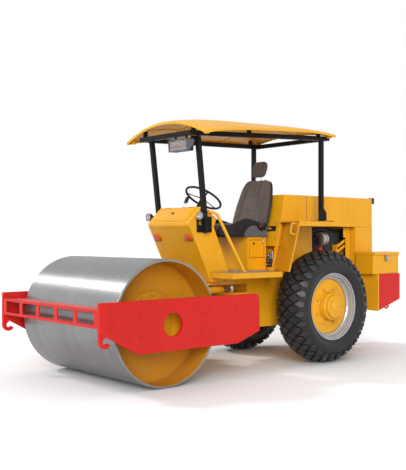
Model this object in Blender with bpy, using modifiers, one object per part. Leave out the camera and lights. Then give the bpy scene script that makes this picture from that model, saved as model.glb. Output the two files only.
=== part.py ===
"""Articulated single drum roller with an open canopy, at its real size in metres.

Frame: the machine drives towards -Y, +X is its left side, +Z is up. The origin is on the floor,
at the middle of the machine's length and width. Stations with the ending _S are measured from
the rear axle, and are negative ahead of it.
"""

import math

import bmesh
import bpy
from mathutils import Vector

# Fits
SEAT = 0.0003  # between pieces that rest on each other
RUN = 0.006  # between pieces that move past each other
WELD = 0.003  # how far a welded detail reaches into what carries it

# Main sizes
WHEELBASE = 2.37
FRONT_OVERHANG = 0.815
REAR_OVERHANG = 1.43
DRUM_RADIUS = 0.6095
DRUM_WIDTH = 1.676
TYRE_RADIUS = 0.64
TYRE_WIDTH = 0.40
TYRE_OUTER_X = 0.88
DRUM_Y = -(WHEELBASE + REAR_OVERHANG - FRONT_OVERHANG) / 2
AXLE_Y = DRUM_Y + WHEELBASE
FRONT_Y = DRUM_Y - FRONT_OVERHANG
REAR_Y = AXLE_Y + REAR_OVERHANG
TYRE_X = TYRE_OUTER_X - TYRE_WIDTH / 2

# Drum
SHELL_WALL = 0.025
DRUM_SIDES = 64
HEAD_RECESS = 0.26
HEAD_THICKNESS = 0.025
HEAD_RING_RADIUS = 0.29
HEAD_RING_HEIGHT = 0.02
HUB_RADIUS = 0.12
HUB_LENGTH = 0.07
HEAD_BOLTS = 12
BOLT_RADIUS = 0.013
BOLT_HEIGHT = 0.012

# Front frame
PLATE_CLEARANCE = 0.057
PLATE_THICKNESS = 0.035
PLATE_TOP = 0.24
PLATE_BOTTOM = -0.245
PLATE_TAIL = 1.12
PLATE_TAIL_LOW = -0.14
PLATE_FOOT_FRONT = -0.40
PLATE_FOOT_REAR = 0.82
PLATE_CORNER = 0.06
PORTHOLE_RADIUS = 0.1125
HOOK_THROAT = 0.028
HOOK_WALL = 0.037
HOOK_DROP = -0.10
PLATE_INNER_X = DRUM_WIDTH / 2 + PLATE_CLEARANCE
PLATE_OUTER_X = PLATE_INNER_X + PLATE_THICKNESS
BUMPER_DEPTH = 0.16
BUMPER_TOP = 0.18
BUMPER_FOOT = 0.012
BUMPER_WALL = 0.014
BUMPER_BAYS = 5
BUMPER_UPRIGHT = 0.06
BEAM_START = 0.68
BEAM_DEPTH = 0.24
BEAM_TOP = 0.19
BEAM_FOOT = -0.15

# Pivot and steering cylinders
PIVOT_S = -1.05
PIVOT_Y = AXLE_Y + PIVOT_S
PIN_RADIUS = 0.035
PIN_PLAY = 0.0008
KNUCKLE_RADIUS = 0.085
TONGUE_LOW = 0.48
TONGUE_HIGH = 0.78
TONGUE_ROOT_HALF = 0.2
EAR_THICKNESS = 0.03
EAR_NOSE = 0.085
EAR_LEAD = 0.045
UPPER_EAR_HALF = 0.36
LOWER_EAR_HALF = 0.18
BARREL_PIN_X = 0.42
BARREL_PIN_BEHIND_DRUM = 0.76
ROD_EYE_X = 0.28
CYLINDER_Z = 0.86
CYLINDER_RADIUS = 0.034
ROD_RADIUS = 0.016
CYLINDER_PIN_RADIUS = 0.014
EYE_RADIUS = 0.036
EYE_HEIGHT = 0.04
BARREL_BASE = 0.02
STEER_LIMIT = math.radians(35)

# Drum carriers
CARRIER_X = 0.70
CARRIER_THICKNESS = 0.03
CARRIER_HALF_LENGTH = 0.46
CARRIER_HALF_HEIGHT = 0.15
BUFFER_RADIUS = 0.055
BUFFER_Y = 0.37
BUFFER_Z = 0.085
STUB_RADIUS = 0.08
STUB_INTO_HUB = 0.03
STUB_PLAY = 0.0006

# Rear frame
FRAME_HALF = 0.30
FRAME_WALL = 0.02
FRAME_FRONT_S = -0.84
FRAME_REAR_S = 0.99
FRAME_FOOT = 0.41
BEARER_WIDTH = 0.05
BEARER_DEPTH = 0.037
BEARER_FRONT_S = -1.40
BULKHEAD_THICKNESS = 0.02
DECK_FOOT = 0.99
DECK_TOP = 1.05
FRAME_TOP = DECK_FOOT - SEAT

# Deck
DECK_HALF = 0.72
DECK_FRONT_S = -1.43
DECK_WING_REAR_S = -0.70
DECK_REAR_S = -0.51
DECK_SKIN = 0.012

# Console
CONSOLE_HALF = 0.36
LIP_S = -1.715
LIP_TOP = 1.58
LIP_DROP = 0.035
LIP_SETBACK = 0.022
CONSOLE_FOOT = CYLINDER_Z + CYLINDER_RADIUS + 2 * RUN + BEARER_DEPTH
FOOT_FRONT_S = -1.415
FOOT_REAR_S = -1.239
HEEL_S = -1.157
WAIST_S = -1.374
WAIST_Z = 1.531
NOSE_S = -1.334
NOSE_Z = 1.623
RIDGE_S = -1.528
RIDGE_Z = 1.745
RIDGE_FLAT = 0.02
LID_HALF = 0.29
LID_THICKNESS = 0.024
LID_MARGIN = 0.014
RECESS_HALF = 0.25
RECESS_DEPTH = 0.11
RECESS_RIM = 0.03
KNOB_RADIUS = 0.009

# Steering column, wheel and levers
COLUMN_TILT = math.radians(33)
STEER_HUB_S = -1.235
STEER_HUB_Z = 1.835
COLUMN_RADIUS = 0.028
COLUMN_LENGTH = 0.30
STEER_RADIUS = 0.21
STEER_GRIP = 0.013
STEER_HUB_RADIUS = 0.035
STEER_SPOKES = 3
LEVER_X = -0.125
LEVER_SPACING = 0.05
LEVER_LENGTH = 0.19
LEVER_RADIUS = 0.006
GRIP_RADIUS = 0.013
GRIP_LENGTH = 0.08

# Handrails
RAIL_RADIUS = 0.017
RAIL_START_S = -1.455
RAIL_START_Z = 1.69
RAIL_BEND_S = -1.37
RAIL_BEND_Z = 1.655
RAIL_BEND_X = 0.43
RAIL_FOOT_X = 0.60
RAIL_FOOT_S = -1.15

# Seat box and seat
BOX_HALF = 0.27
BOX_FRONT_S = -0.80
BOX_REAR_S = -0.51
BOX_TOP = 1.425
BOX_WALL = 0.012
DOOR_FOOT = 1.19
DOOR_MARGIN = 0.03
DOOR_THICKNESS = 0.012
HINGE_RADIUS = 0.007
SEAT_BASE_HEIGHT = 0.05
CUSHION_HALF = 0.26
CUSHION_FRONT_S = -1.20
CUSHION_REAR_S = -0.65
CUSHION_HEIGHT = 0.11
BACK_TILT = math.radians(16)
BACK_HEIGHT = 0.64
BACK_THICKNESS = 0.14
BACK_ROUNDING = 0.045
BACK_FOOT_S = -0.55
HEADREST_HALF = 0.095
HEADREST_HEIGHT = 0.175
HEADREST_THICKNESS = 0.10
HEADREST_GAP = 0.035
HEADREST_ROD_RADIUS = 0.007
COVER_THICKNESS = 0.018
COVER_HEIGHT = 0.10

# Body panels
BODY_HALF = 0.375
BODY_TOP = 1.915
COWL_FOOT_S = -0.49
COWL_TOP_S = -0.31
COWL_REAR_S = 0.06
NICHE_HALF_WIDTH = 0.10
NICHE_X = 0.235
NICHE_TOP = 1.32
NICHE_DEPTH = 0.16
FENDER_OUTER_X = 0.85
FENDER_FOOT_S = -0.74
FENDER_TOP_S = -0.57
FENDER_TOP = 1.60
FENDER_REAR_S = 0.25
FENDER_SKIN = 0.012
FENDER_LIP = 0.055
HOOD_FRONT_S = 0.07
HOOD_REAR_S = 1.29
HOOD_HEIGHT = 0.365
HOOD_FOOT = BODY_TOP - HOOD_HEIGHT
HOOD_SKIN = 0.015
HOUSING_FRONT_S = 0.96
HOUSING_WALL = 0.03
GRILLE_SLATS = 9
GRILLE_BAR = 0.022

# Engine
ENGINE_HALF = 0.2
ENGINE_FRONT_S = 0.10
ENGINE_REAR_S = 0.86
ENGINE_FOOT = 0.80
ENGINE_TOP = 1.50
ALTERNATOR_S = 0.42
ALTERNATOR_Z = 1.40
ALTERNATOR_RADIUS = 0.085
ALTERNATOR_LENGTH = 0.14
FILTER_RADIUS = 0.04
FILTER_LENGTH = 0.14
FILTER_Z = 1.235

# Counterweight and toolbox
WEIGHT_HALF = 0.70
WEIGHT_TOP = 0.97
WEIGHT_FOOT = 0.52
WEIGHT_REAR_FOOT = 0.65
TOW_RING_RADIUS = 0.036
TOW_RING_BAR = 0.011
TOW_RING_X = 0.62
TOW_RING_AHEAD = 0.17
TOOLBOX_OUTER_X = 0.68
TOOLBOX_FRONT_S = 0.92
TOOLBOX_TOP = 1.215
TOOLBOX_WALL = 0.008
TOOLBOX_LID = 0.025
TOOLBOX_INNER_X = BODY_HALF + TOOLBOX_LID + 2 * RUN
LATCH_WIDTH = 0.035
LATCH_HEIGHT = 0.06

# Canopy
POST_WIDTH = 0.047
POST_PLATE = 0.012
FRONT_POST_TOP_X = 0.40
FRONT_POST_TOP_S = -1.635
FRONT_POST_FOOT_X = CONSOLE_HALF + SEAT + POST_PLATE + POST_WIDTH / 2 - WELD
FRONT_POST_FOOT_S = -1.515
FRONT_POST_FOOT_Z = 1.47
FRONT_PLATE_HALF_LENGTH = 0.10
FRONT_PLATE_FOOT = 1.475
FRONT_PLATE_HEIGHT = 0.165
REAR_POST_X = 0.565
REAR_POST_S = 0.10
REAR_PLATE_HALF = 0.10
REAR_PLATE_HALF_LENGTH = 0.12
GUSSET_HALF = 0.065
GUSSET_HEIGHT = 0.15
RAIL_FRONT_X = 0.415
RAIL_REAR_X = 0.58
RAIL_FRONT_S = -1.745
RAIL_REAR_S = 0.18
RAIL_FRONT_Z = 2.50
RAIL_REAR_Z = 2.575
RAIL_DEPTH = 0.05
ROOF_HALF = 0.69
ROOF_FRONT_S = -1.775
ROOF_REAR_S = 0.215
ROOF_CORNER_FRONT = 2.495
ROOF_CORNER_REAR = 2.61
ROOF_ARCH_X = 0.16
ROOF_ARCH_Y = 0.05
ROOF_SKIN = 0.012
ROOF_CELLS_X = 10
ROOF_CELLS_Y = 10
ROOF_STANDOFF = 0.018

# Lamps
HEADLAMP_RADIUS = 0.045
HEADLAMP_DEPTH = 0.07
HEADLAMP_X = 0.45
HEADLAMP_S = -1.65
HEADLAMP_Z = 1.645
INDICATOR_WIDTH = 0.10
INDICATOR_HEIGHT = 0.065
INDICATOR_DEPTH = 0.022
INDICATOR_X = 0.27
INDICATOR_Z = 1.425
REAR_LAMP_SIZE = 0.075
REAR_LAMP_X = 0.32
ROOF_LAMP_HALF = 0.15
ROOF_LAMP_X = 0.26
ROOF_LAMP_DEPTH = 0.10
ROOF_LAMP_HEIGHT = 0.12

# Rear wheels and axle
RIM_RADIUS = 0.3785
RIM_WALL = 0.012
RIM_HALF_WIDTH = 0.165
RIM_WELL = 0.33
DISC_RECESS = 0.09
DISC_RADIUS = 0.31
DISC_THICKNESS = 0.016
WHEEL_HUB_RADIUS = 0.163
WHEEL_CAP_RADIUS = 0.135
WHEEL_CAP_BOSS = 0.05
WHEEL_HUB_REACH = 0.10
LUG_NUTS = 8
LUG_NUT_CIRCLE = 0.21
LUG_NUT_RADIUS = 0.016
AXLE_TUBE = 0.085
AXLE_COLLAR = 0.135
AXLE_COLLAR_WIDTH = 0.03
AXLE_FLANGE = 0.15
AXLE_FLANGE_THICKNESS = 0.03
AXLE_BODY_RADIUS = 0.17
AXLE_BODY_HALF = 0.15

# Tyre tread
LUGS_AROUND = 36
LUG_ROWS = 7
LUG_DEPTH = 0.022
LUG_SLOPE = 0.011
CROWN_DROP = 0.05
TREAD_HALF = 0.172
BULGE_RADIUS = 0.50

parts = None
cutters = None
materials = {}


def aft(station):
    """World Y of a station measured from the rear axle."""
    return AXLE_Y + station


def start():
    """Empties the scene and makes the two collections."""
    for thing in list(bpy.data.objects):
        bpy.data.objects.remove(thing)
    made = []
    for name in ("single_drum_roller", "cutters"):
        group = bpy.data.collections.new(name)
        bpy.context.scene.collection.children.link(group)
        made.append(group)
    return made


def material(name, colour, roughness, metallic=0.0):
    """A Principled material, made once for each name."""
    made = bpy.data.materials.new(name)
    made.use_nodes = True
    shader = made.node_tree.nodes["Principled BSDF"]
    shader.inputs["Base Color"].default_value = (*colour, 1.0)
    shader.inputs["Roughness"].default_value = roughness
    shader.inputs["Metallic"].default_value = metallic
    made.diffuse_color = (*colour, 1.0)
    materials[name] = made


def make_materials():
    """The machine's finishes."""
    material("yellow_paint", (0.88, 0.40, 0.015), 0.38)
    material("red_paint", (0.76, 0.025, 0.018), 0.36)
    material("black_paint", (0.012, 0.012, 0.013), 0.45)
    material("drum_steel", (0.42, 0.42, 0.43), 0.33, 1.0)
    material("silver_paint", (0.62, 0.62, 0.62), 0.35, 0.6)
    material("rubber", (0.016, 0.015, 0.015), 0.8)
    material("seat_cloth", (0.055, 0.045, 0.04), 0.9)
    material("seat_plastic", (0.10, 0.105, 0.12), 0.55)
    material("amber_lens", (0.85, 0.13, 0.012), 0.2)
    material("lamp_black", (0.02, 0.02, 0.022), 0.4)
    material("filter_red", (0.7, 0.02, 0.04), 0.35)
    material("cast_dark", (0.05, 0.05, 0.052), 0.6, 0.4)
    material("bare_steel", (0.5, 0.5, 0.5), 0.35, 1.0)


def place(thing, finish=None):
    """Links a piece to the parts, or to the cutters when it has no finish."""
    for group in list(thing.users_collection):
        group.objects.unlink(thing)
    if finish:
        parts.objects.link(thing)
        thing.data.materials.append(materials[finish])
    else:
        cutters.objects.link(thing)
        thing.hide_render = True
        thing.display_type = "WIRE"
    return thing


def from_bmesh(name, work, finish, smooth=False):
    """An object whose mesh is the given bmesh."""
    mesh = bpy.data.meshes.new(name)
    work.to_mesh(mesh)
    work.free()
    if smooth:
        mesh.shade_smooth()
        mesh.set_sharp_from_angle(angle=math.radians(35))
    return place(bpy.data.objects.new(name, mesh), finish)


def box(name, low, high, finish=None, bevel=0.0):
    """A box between two corners, with its origin at its middle."""
    low, high = Vector(low), Vector(high)
    work = bmesh.new()
    bmesh.ops.create_cube(work, size=1.0)
    bmesh.ops.scale(work, vec=high - low, verts=work.verts)
    made = from_bmesh(name, work, finish)
    made.location = (low + high) / 2
    if bevel:
        rounding = made.modifiers.new("rounding", "BEVEL")
        rounding.width = bevel
        rounding.segments = 2
    return made


def rod(name, start_at, end_at, radius, finish=None, sides=16):
    """A straight round bar between two points."""
    start_at, end_at = Vector(start_at), Vector(end_at)
    work = bmesh.new()
    bmesh.ops.create_cone(
        work, cap_ends=True, segments=sides, radius1=radius, radius2=radius,
        depth=(end_at - start_at).length,
    )
    made = from_bmesh(name, work, finish, smooth=True)
    made.location = (start_at + end_at) / 2
    made.rotation_mode = "QUATERNION"
    made.rotation_quaternion = (end_at - start_at).to_track_quat("Z", "Y")
    return made


def bar(name, start_at, end_at, width, depth, finish=None):
    """A straight rectangular bar between two points, its width along X where it can be."""
    start_at, end_at = Vector(start_at), Vector(end_at)
    work = bmesh.new()
    bmesh.ops.create_cube(work, size=1.0)
    bmesh.ops.scale(work, vec=(width, depth, (end_at - start_at).length), verts=work.verts)
    made = from_bmesh(name, work, finish)
    made.location = (start_at + end_at) / 2
    made.rotation_mode = "QUATERNION"
    made.rotation_quaternion = (end_at - start_at).to_track_quat("Z", "Y")
    return made


def outline(name, points, thickness, finish=None):
    """A flat outline in its own XY plane, made solid about that plane."""
    curve = bpy.data.curves.new(name, "CURVE")
    curve.dimensions = "2D"
    curve.fill_mode = "BOTH"
    curve.extrude = thickness / 2
    line = curve.splines.new("POLY")
    line.points.add(len(points) - 1)
    for knot, (x, y) in zip(line.points, points):
        knot.co = (x, y, 0.0, 1.0)
    line.use_cyclic_u = True
    drawn = bpy.data.objects.new(name + "_outline", curve)
    cutters.objects.link(drawn)
    bpy.context.view_layer.update()
    ready = drawn.evaluated_get(bpy.context.evaluated_depsgraph_get())
    mesh = bpy.data.meshes.new_from_object(ready)
    work = bmesh.new()
    work.from_mesh(mesh)
    bmesh.ops.remove_doubles(work, verts=work.verts, dist=1e-5)
    bmesh.ops.recalc_face_normals(work, faces=work.faces)
    bpy.data.objects.remove(drawn)
    return from_bmesh(name, work, finish)


def side_outline(name, points, x, thickness, finish=None):
    """An outline given as (Y, Z) points, centred on the plane at x."""
    made = outline(name, points, thickness, finish)
    made.rotation_euler = (math.pi / 2, 0, math.pi / 2)
    made.location = (x, 0, 0)
    return made


def plan_outline(name, points, z, thickness, finish=None):
    """An outline given as (X, Y) points, centred on the plane at z."""
    made = outline(name, points, thickness, finish)
    made.location = (0, 0, z)
    return made


def turned(name, profile, finish=None, steps=48, at=(0, 0, 0), out=1):
    """A profile of (distance along X, radius) points turned about X.

    It is drawn upright for a Screw about Z, running down its outer side, and then laid along X.
    """
    area = 0.0
    for (near, small), (far, large) in zip(profile, profile[1:] + profile[:1]):
        area += small * far - large * near
    if area > 0:
        profile = profile[::-1]
    work = bmesh.new()
    knots = [work.verts.new((radius, 0, along)) for along, radius in profile]
    for first, second in zip(knots, knots[1:]):
        work.edges.new((first, second))
    if profile[0][1] > 0:
        work.edges.new((knots[-1], knots[0]))
    made = from_bmesh(name, work, finish)
    screw = made.modifiers.new("turn", "SCREW")
    screw.steps = steps
    screw.render_steps = steps
    screw.use_merge_vertices = True
    screw.merge_threshold = 0.00001
    screw.use_smooth_shade = False
    made.rotation_euler = (0, out * math.pi / 2, 0)
    made.location = at
    return made


def combine(target, tools, operation):
    """Adds one exact Boolean for each tool, and hides the tools among the cutters."""
    for tool in tools:
        place(tool)
        step = target.modifiers.new(tool.name, "BOOLEAN")
        step.operation = operation
        step.solver = "EXACT"
        step.object = tool
    return target


def cut(target, *tools):
    """Takes the tools away from the target."""
    return combine(target, tools, "DIFFERENCE")


def weld(target, *tools):
    """Joins the tools to the target."""
    return combine(target, tools, "UNION")


def pivot_empty(name, at):
    """An empty on a joint's axis, which carries the pieces that move with it."""
    made = bpy.data.objects.new(name, None)
    parts.objects.link(made)
    made.location = at
    return made


def carry(empty, *pieces):
    """Parents pieces to an empty without moving them."""
    for piece in pieces:
        piece.parent = empty
        piece.location = Vector(piece.location) - Vector(empty.location)


def arc(centre, radius, start, end, steps):
    """Points along a circular arc, with its angles in degrees."""
    points = []
    for step in range(steps + 1):
        angle = math.radians(start + (end - start) * step / steps)
        points.append((centre[0] + radius * math.cos(angle), centre[1] + radius * math.sin(angle)))
    return points


def side_name(side):
    """The machine's left is at +X."""
    return "left" if side > 0 else "right"


def drum():
    """The steel roll, open at both ends, with a recessed head near each end."""
    axis = pivot_empty("drum_axis", (0, DRUM_Y, DRUM_RADIUS))
    bore = DRUM_RADIUS - SHELL_WALL
    half = DRUM_WIDTH / 2
    ring = [(half, DRUM_RADIUS), (half, bore), (-half, bore), (-half, DRUM_RADIUS)]
    shell = turned("drum_shell", ring, "drum_steel", DRUM_SIDES, axis.location)
    carry(axis, shell)
    for side in (-1, 1):
        face = half - HEAD_RECESS
        inner = face - HEAD_THICKNESS
        raised = face + HEAD_RING_HEIGHT
        profile = [
            (inner, 0), (inner, bore - SEAT), (face, bore - SEAT), (face, HEAD_RING_RADIUS),
            (raised, HEAD_RING_RADIUS - 0.01), (raised, HUB_RADIUS), (raised + HUB_LENGTH, HUB_RADIUS),
            (raised + HUB_LENGTH, STUB_RADIUS + STUB_PLAY), (raised, STUB_RADIUS + STUB_PLAY), (raised, 0),
        ]
        name = "drum_head_" + side_name(side)
        head = turned(name, profile, "yellow_paint", DRUM_SIDES, axis.location, side)
        bolts = []
        for turn in range(HEAD_BOLTS):
            angle = 2 * math.pi * turn / HEAD_BOLTS
            y = DRUM_Y + (HEAD_RING_RADIUS - 0.035) * math.cos(angle)
            z = DRUM_RADIUS + (HEAD_RING_RADIUS - 0.035) * math.sin(angle)
            foot = (side * (raised - WELD), y, z)
            tip = (side * (raised + BOLT_HEIGHT), y, z)
            bolts.append(rod(f"{name}_bolt_{turn}", foot, tip, BOLT_RADIUS, sides=6))
        weld(head, *bolts)
        carry(axis, head)


def plate_points():
    """The side plate's outline about the drum's axis: front hook, foot, raked tail, round corner."""
    front = -FRONT_OVERHANG
    reach = HOOK_THROAT + HOOK_WALL
    hook = (front + reach, HOOK_DROP)
    outer = arc(hook, reach, 180, 328, 8)
    throat = arc(hook, HOOK_THROAT, 328, 90, 10)
    corner = (PLATE_TAIL - PLATE_CORNER, PLATE_TOP - PLATE_CORNER)
    return (
        [(front, PLATE_TOP)] + outer + throat
        + [(front + reach, HOOK_DROP + reach * 0.7), (PLATE_FOOT_FRONT, PLATE_BOTTOM)]
        + [(PLATE_FOOT_REAR, PLATE_BOTTOM), (PLATE_TAIL, PLATE_TAIL_LOW)]
        + arc(corner, PLATE_CORNER, 0, 90, 5)
    )


def side_plates(axis):
    """The red plates that carry the drum, each with a porthole and its bolt heads."""
    points = [(DRUM_Y + y, DRUM_RADIUS + z) for y, z in plate_points()]
    bolt_places = [(-0.70, 0.17), (-0.70, 0.02)]
    bolt_places += [(y, z) for y in (-BUFFER_Y, BUFFER_Y) for z in (-BUFFER_Z, BUFFER_Z)]
    bolt_places += [(BEAM_START + BEAM_DEPTH / 2, z) for z in (0.12, -0.08)]
    for side in (-1, 1):
        name = "side_plate_" + side_name(side)
        middle = side * (PLATE_INNER_X + PLATE_THICKNESS / 2)
        plate = side_outline(name, points, middle, PLATE_THICKNESS, "red_paint")
        reach = PLATE_THICKNESS
        hole = rod(
            name + "_porthole", (middle - reach, DRUM_Y, DRUM_RADIUS),
            (middle + reach, DRUM_Y, DRUM_RADIUS), PORTHOLE_RADIUS, sides=32,
        )
        cut(plate, hole)
        for index, (y, z) in enumerate(bolt_places):
            foot = (side * (PLATE_OUTER_X - WELD), DRUM_Y + y, DRUM_RADIUS + z)
            tip = (side * (PLATE_OUTER_X + BOLT_HEIGHT), DRUM_Y + y, DRUM_RADIUS + z)
            weld(plate, rod(f"{name}_bolt_{index}", foot, tip, BOLT_RADIUS, sides=6))
        carry(axis, plate)


def front_bumper(axis):
    """The ladder between the plates: two shelves, a web with windows and an end plate each side."""
    inner = PLATE_INNER_X - SEAT
    low, high = DRUM_RADIUS + BUMPER_FOOT, DRUM_RADIUS + BUMPER_TOP
    front = FRONT_Y + WELD
    web = box("front_bumper", (-inner, front, low), (inner, front + BUMPER_WALL, high), "red_paint")
    bay = (2 * inner - (BUMPER_BAYS + 1) * BUMPER_UPRIGHT) / BUMPER_BAYS
    for index in range(BUMPER_BAYS):
        start_x = -inner + BUMPER_UPRIGHT + index * (bay + BUMPER_UPRIGHT)
        window = box(
            f"bumper_window_{index}", (start_x, front - WELD, low + 2 * BUMPER_WALL),
            (start_x + bay, front + 2 * BUMPER_WALL, high - 2 * BUMPER_WALL),
        )
        cut(web, window)
    rear = front + BUMPER_DEPTH
    for index, z in enumerate((low, high - BUMPER_WALL)):
        weld(web, box(f"bumper_shelf_{index}", (-inner, front + WELD, z), (inner, rear, z + BUMPER_WALL)))
    for side in (-1, 1):
        near, far = sorted((side * inner, side * (inner - BUMPER_WALL)))
        end_low, end_high = (near, front + WELD, low + WELD), (far, rear - WELD, high - WELD)
        weld(web, box(f"bumper_end_{side}", end_low, end_high))
    carry(axis, web)


def front_beam(axis):
    """The beam behind the drum, with the tongue that reaches back to the pivot pin."""
    inner = PLATE_INNER_X - SEAT
    start_y = DRUM_Y + BEAM_START
    end_y = start_y + BEAM_DEPTH
    low, high = DRUM_RADIUS + BEAM_FOOT, DRUM_RADIUS + BEAM_TOP
    beam = box("front_beam", (-inner, start_y, low), (inner, end_y, high), "yellow_paint")
    root = end_y - WELD
    tongue = [
        (-TONGUE_ROOT_HALF, root), (TONGUE_ROOT_HALF, root),
        (KNUCKLE_RADIUS * 0.9, PIVOT_Y), (-KNUCKLE_RADIUS * 0.9, PIVOT_Y),
    ]
    middle = (TONGUE_LOW + TONGUE_HIGH) / 2
    height = TONGUE_HIGH - TONGUE_LOW
    weld(beam, plan_outline("tongue", tongue, middle, height - 0.02))
    foot, top = (0, PIVOT_Y, TONGUE_LOW), (0, PIVOT_Y, TONGUE_HIGH)
    weld(beam, rod("knuckle", foot, top, KNUCKLE_RADIUS, sides=24))
    below, above = (0, PIVOT_Y, TONGUE_LOW - 0.05), (0, PIVOT_Y, TONGUE_HIGH + 0.05)
    cut(beam, rod("knuckle_bore", below, above, PIN_RADIUS + PIN_PLAY, sides=24))
    for side in (-1, 1):
        x, y = side * BARREL_PIN_X, DRUM_Y + BARREL_PIN_BEHIND_DRUM
        foot = (x, y, high - WELD)
        seat = (x, y, CYLINDER_Z - EYE_HEIGHT / 2 - SEAT)
        top = (x, y, CYLINDER_Z + EYE_HEIGHT / 2 + 0.01)
        weld(beam, rod(f"cylinder_boss_{side}", foot, seat, EYE_RADIUS * 0.65, sides=20))
        root = (x, y, seat[2] - WELD)
        weld(beam, rod(f"cylinder_pin_{side}", root, top, CYLINDER_PIN_RADIUS, sides=16))
    carry(axis, beam)


def drum_carriers(axis):
    """The brackets on rubber buffers that hold the drum's bearings, one inside each side plate."""
    for side in (-1, 1):
        name = "drum_carrier_" + side_name(side)
        near, far = sorted((side * CARRIER_X, side * (CARRIER_X + CARRIER_THICKNESS)))
        low = (near, DRUM_Y - CARRIER_HALF_LENGTH, DRUM_RADIUS - CARRIER_HALF_HEIGHT)
        high = (far, DRUM_Y + CARRIER_HALF_LENGTH, DRUM_RADIUS + CARRIER_HALF_HEIGHT)
        carrier = box(name, low, high, "yellow_paint")
        hub_end = DRUM_WIDTH / 2 - HEAD_RECESS + HEAD_RING_HEIGHT + HUB_LENGTH
        stub_end = (side * (hub_end - STUB_INTO_HUB), DRUM_Y, DRUM_RADIUS)
        stub_root = (side * (CARRIER_X + WELD), DRUM_Y, DRUM_RADIUS)
        weld(carrier, rod(name + "_stub", stub_end, stub_root, STUB_RADIUS, sides=20))
        for index, (y, z) in enumerate((y, z) for y in (-1, 1) for z in (-1, 1)):
            root = side * (CARRIER_X + CARRIER_THICKNESS - WELD)
            tip = side * (PLATE_INNER_X - SEAT)
            y_at, z_at = DRUM_Y + y * BUFFER_Y, DRUM_RADIUS + z * BUFFER_Z
            tools = rod(f"{name}_buffer_{index}", (root, y_at, z_at), (tip, y_at, z_at), BUFFER_RADIUS)
            weld(carrier, tools)
        carry(axis, carrier)


def cylinder_length(turn):
    """The distance between a steering cylinder's pins with the front turned towards its side."""
    across, along = BARREL_PIN_X, BARREL_PIN_BEHIND_DRUM - (WHEELBASE + PIVOT_S)
    x = across * math.cos(turn) - along * math.sin(turn)
    y = across * math.sin(turn) + along * math.cos(turn)
    return math.hypot(x - ROD_EYE_X, y)


def steering_cylinders(axis):
    """A barrel on the front beam and a rod to the rear frame, on each side of the pivot."""
    stroke = (cylinder_length(-STEER_LIMIT) - cylinder_length(STEER_LIMIT)) / 2
    for side in (-1, 1):
        name = side_name(side)
        foot = Vector((side * BARREL_PIN_X, DRUM_Y + BARREL_PIN_BEHIND_DRUM, CYLINDER_Z))
        eye = Vector((side * ROD_EYE_X, PIVOT_Y, CYLINDER_Z))
        along = (eye - foot).normalized()
        mouth = foot + along * (cylinder_length(0) - stroke - EYE_RADIUS - RUN)
        well = foot + along * (EYE_RADIUS + BARREL_BASE)
        half_eye = Vector((0, 0, EYE_HEIGHT / 2))
        root = foot + along * EYE_RADIUS * 0.8
        barrel = rod("steering_barrel_" + name, root, mouth, CYLINDER_RADIUS, "yellow_paint")
        weld(barrel, rod(f"barrel_eye_{name}", foot - half_eye, foot + half_eye, EYE_RADIUS, sides=20))
        bore = CYLINDER_PIN_RADIUS + PIN_PLAY
        ends = foot - 2 * half_eye, foot + 2 * half_eye
        cut(barrel, rod(f"barrel_bore_{name}", ends[0], ends[1], bore, sides=16))
        past = mouth + along * 0.01
        cut(barrel, rod(f"barrel_well_{name}", well, past, ROD_RADIUS + PIN_PLAY / 2, sides=20))
        inner = well + along * (stroke + RUN)
        neck = eye - along * EYE_RADIUS * 0.5
        ram = rod("steering_rod_" + name, inner, neck, ROD_RADIUS, "bare_steel", 16)
        ends = eye - half_eye, eye + half_eye * 1.4
        weld(ram, rod(f"rod_eye_{name}", ends[0], ends[1], EYE_RADIUS * 0.85, sides=20))
        hinge = pivot_empty("steering_barrel_axis_" + name, foot)
        carry(hinge, barrel, ram)
        hinge.parent = axis
        hinge.location = foot - Vector(axis.location)


def ear_points(half):
    """A hitch ear's plan outline, rounded about the pivot pin."""
    face = aft(FRAME_FRONT_S) + WELD
    front = PIVOT_Y - EAR_LEAD
    nose = arc((0, PIVOT_Y), EAR_NOSE, 215, 325, 10)
    return [(-half, face), (-half, front)] + nose + [(half, front), (half, face)]


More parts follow.
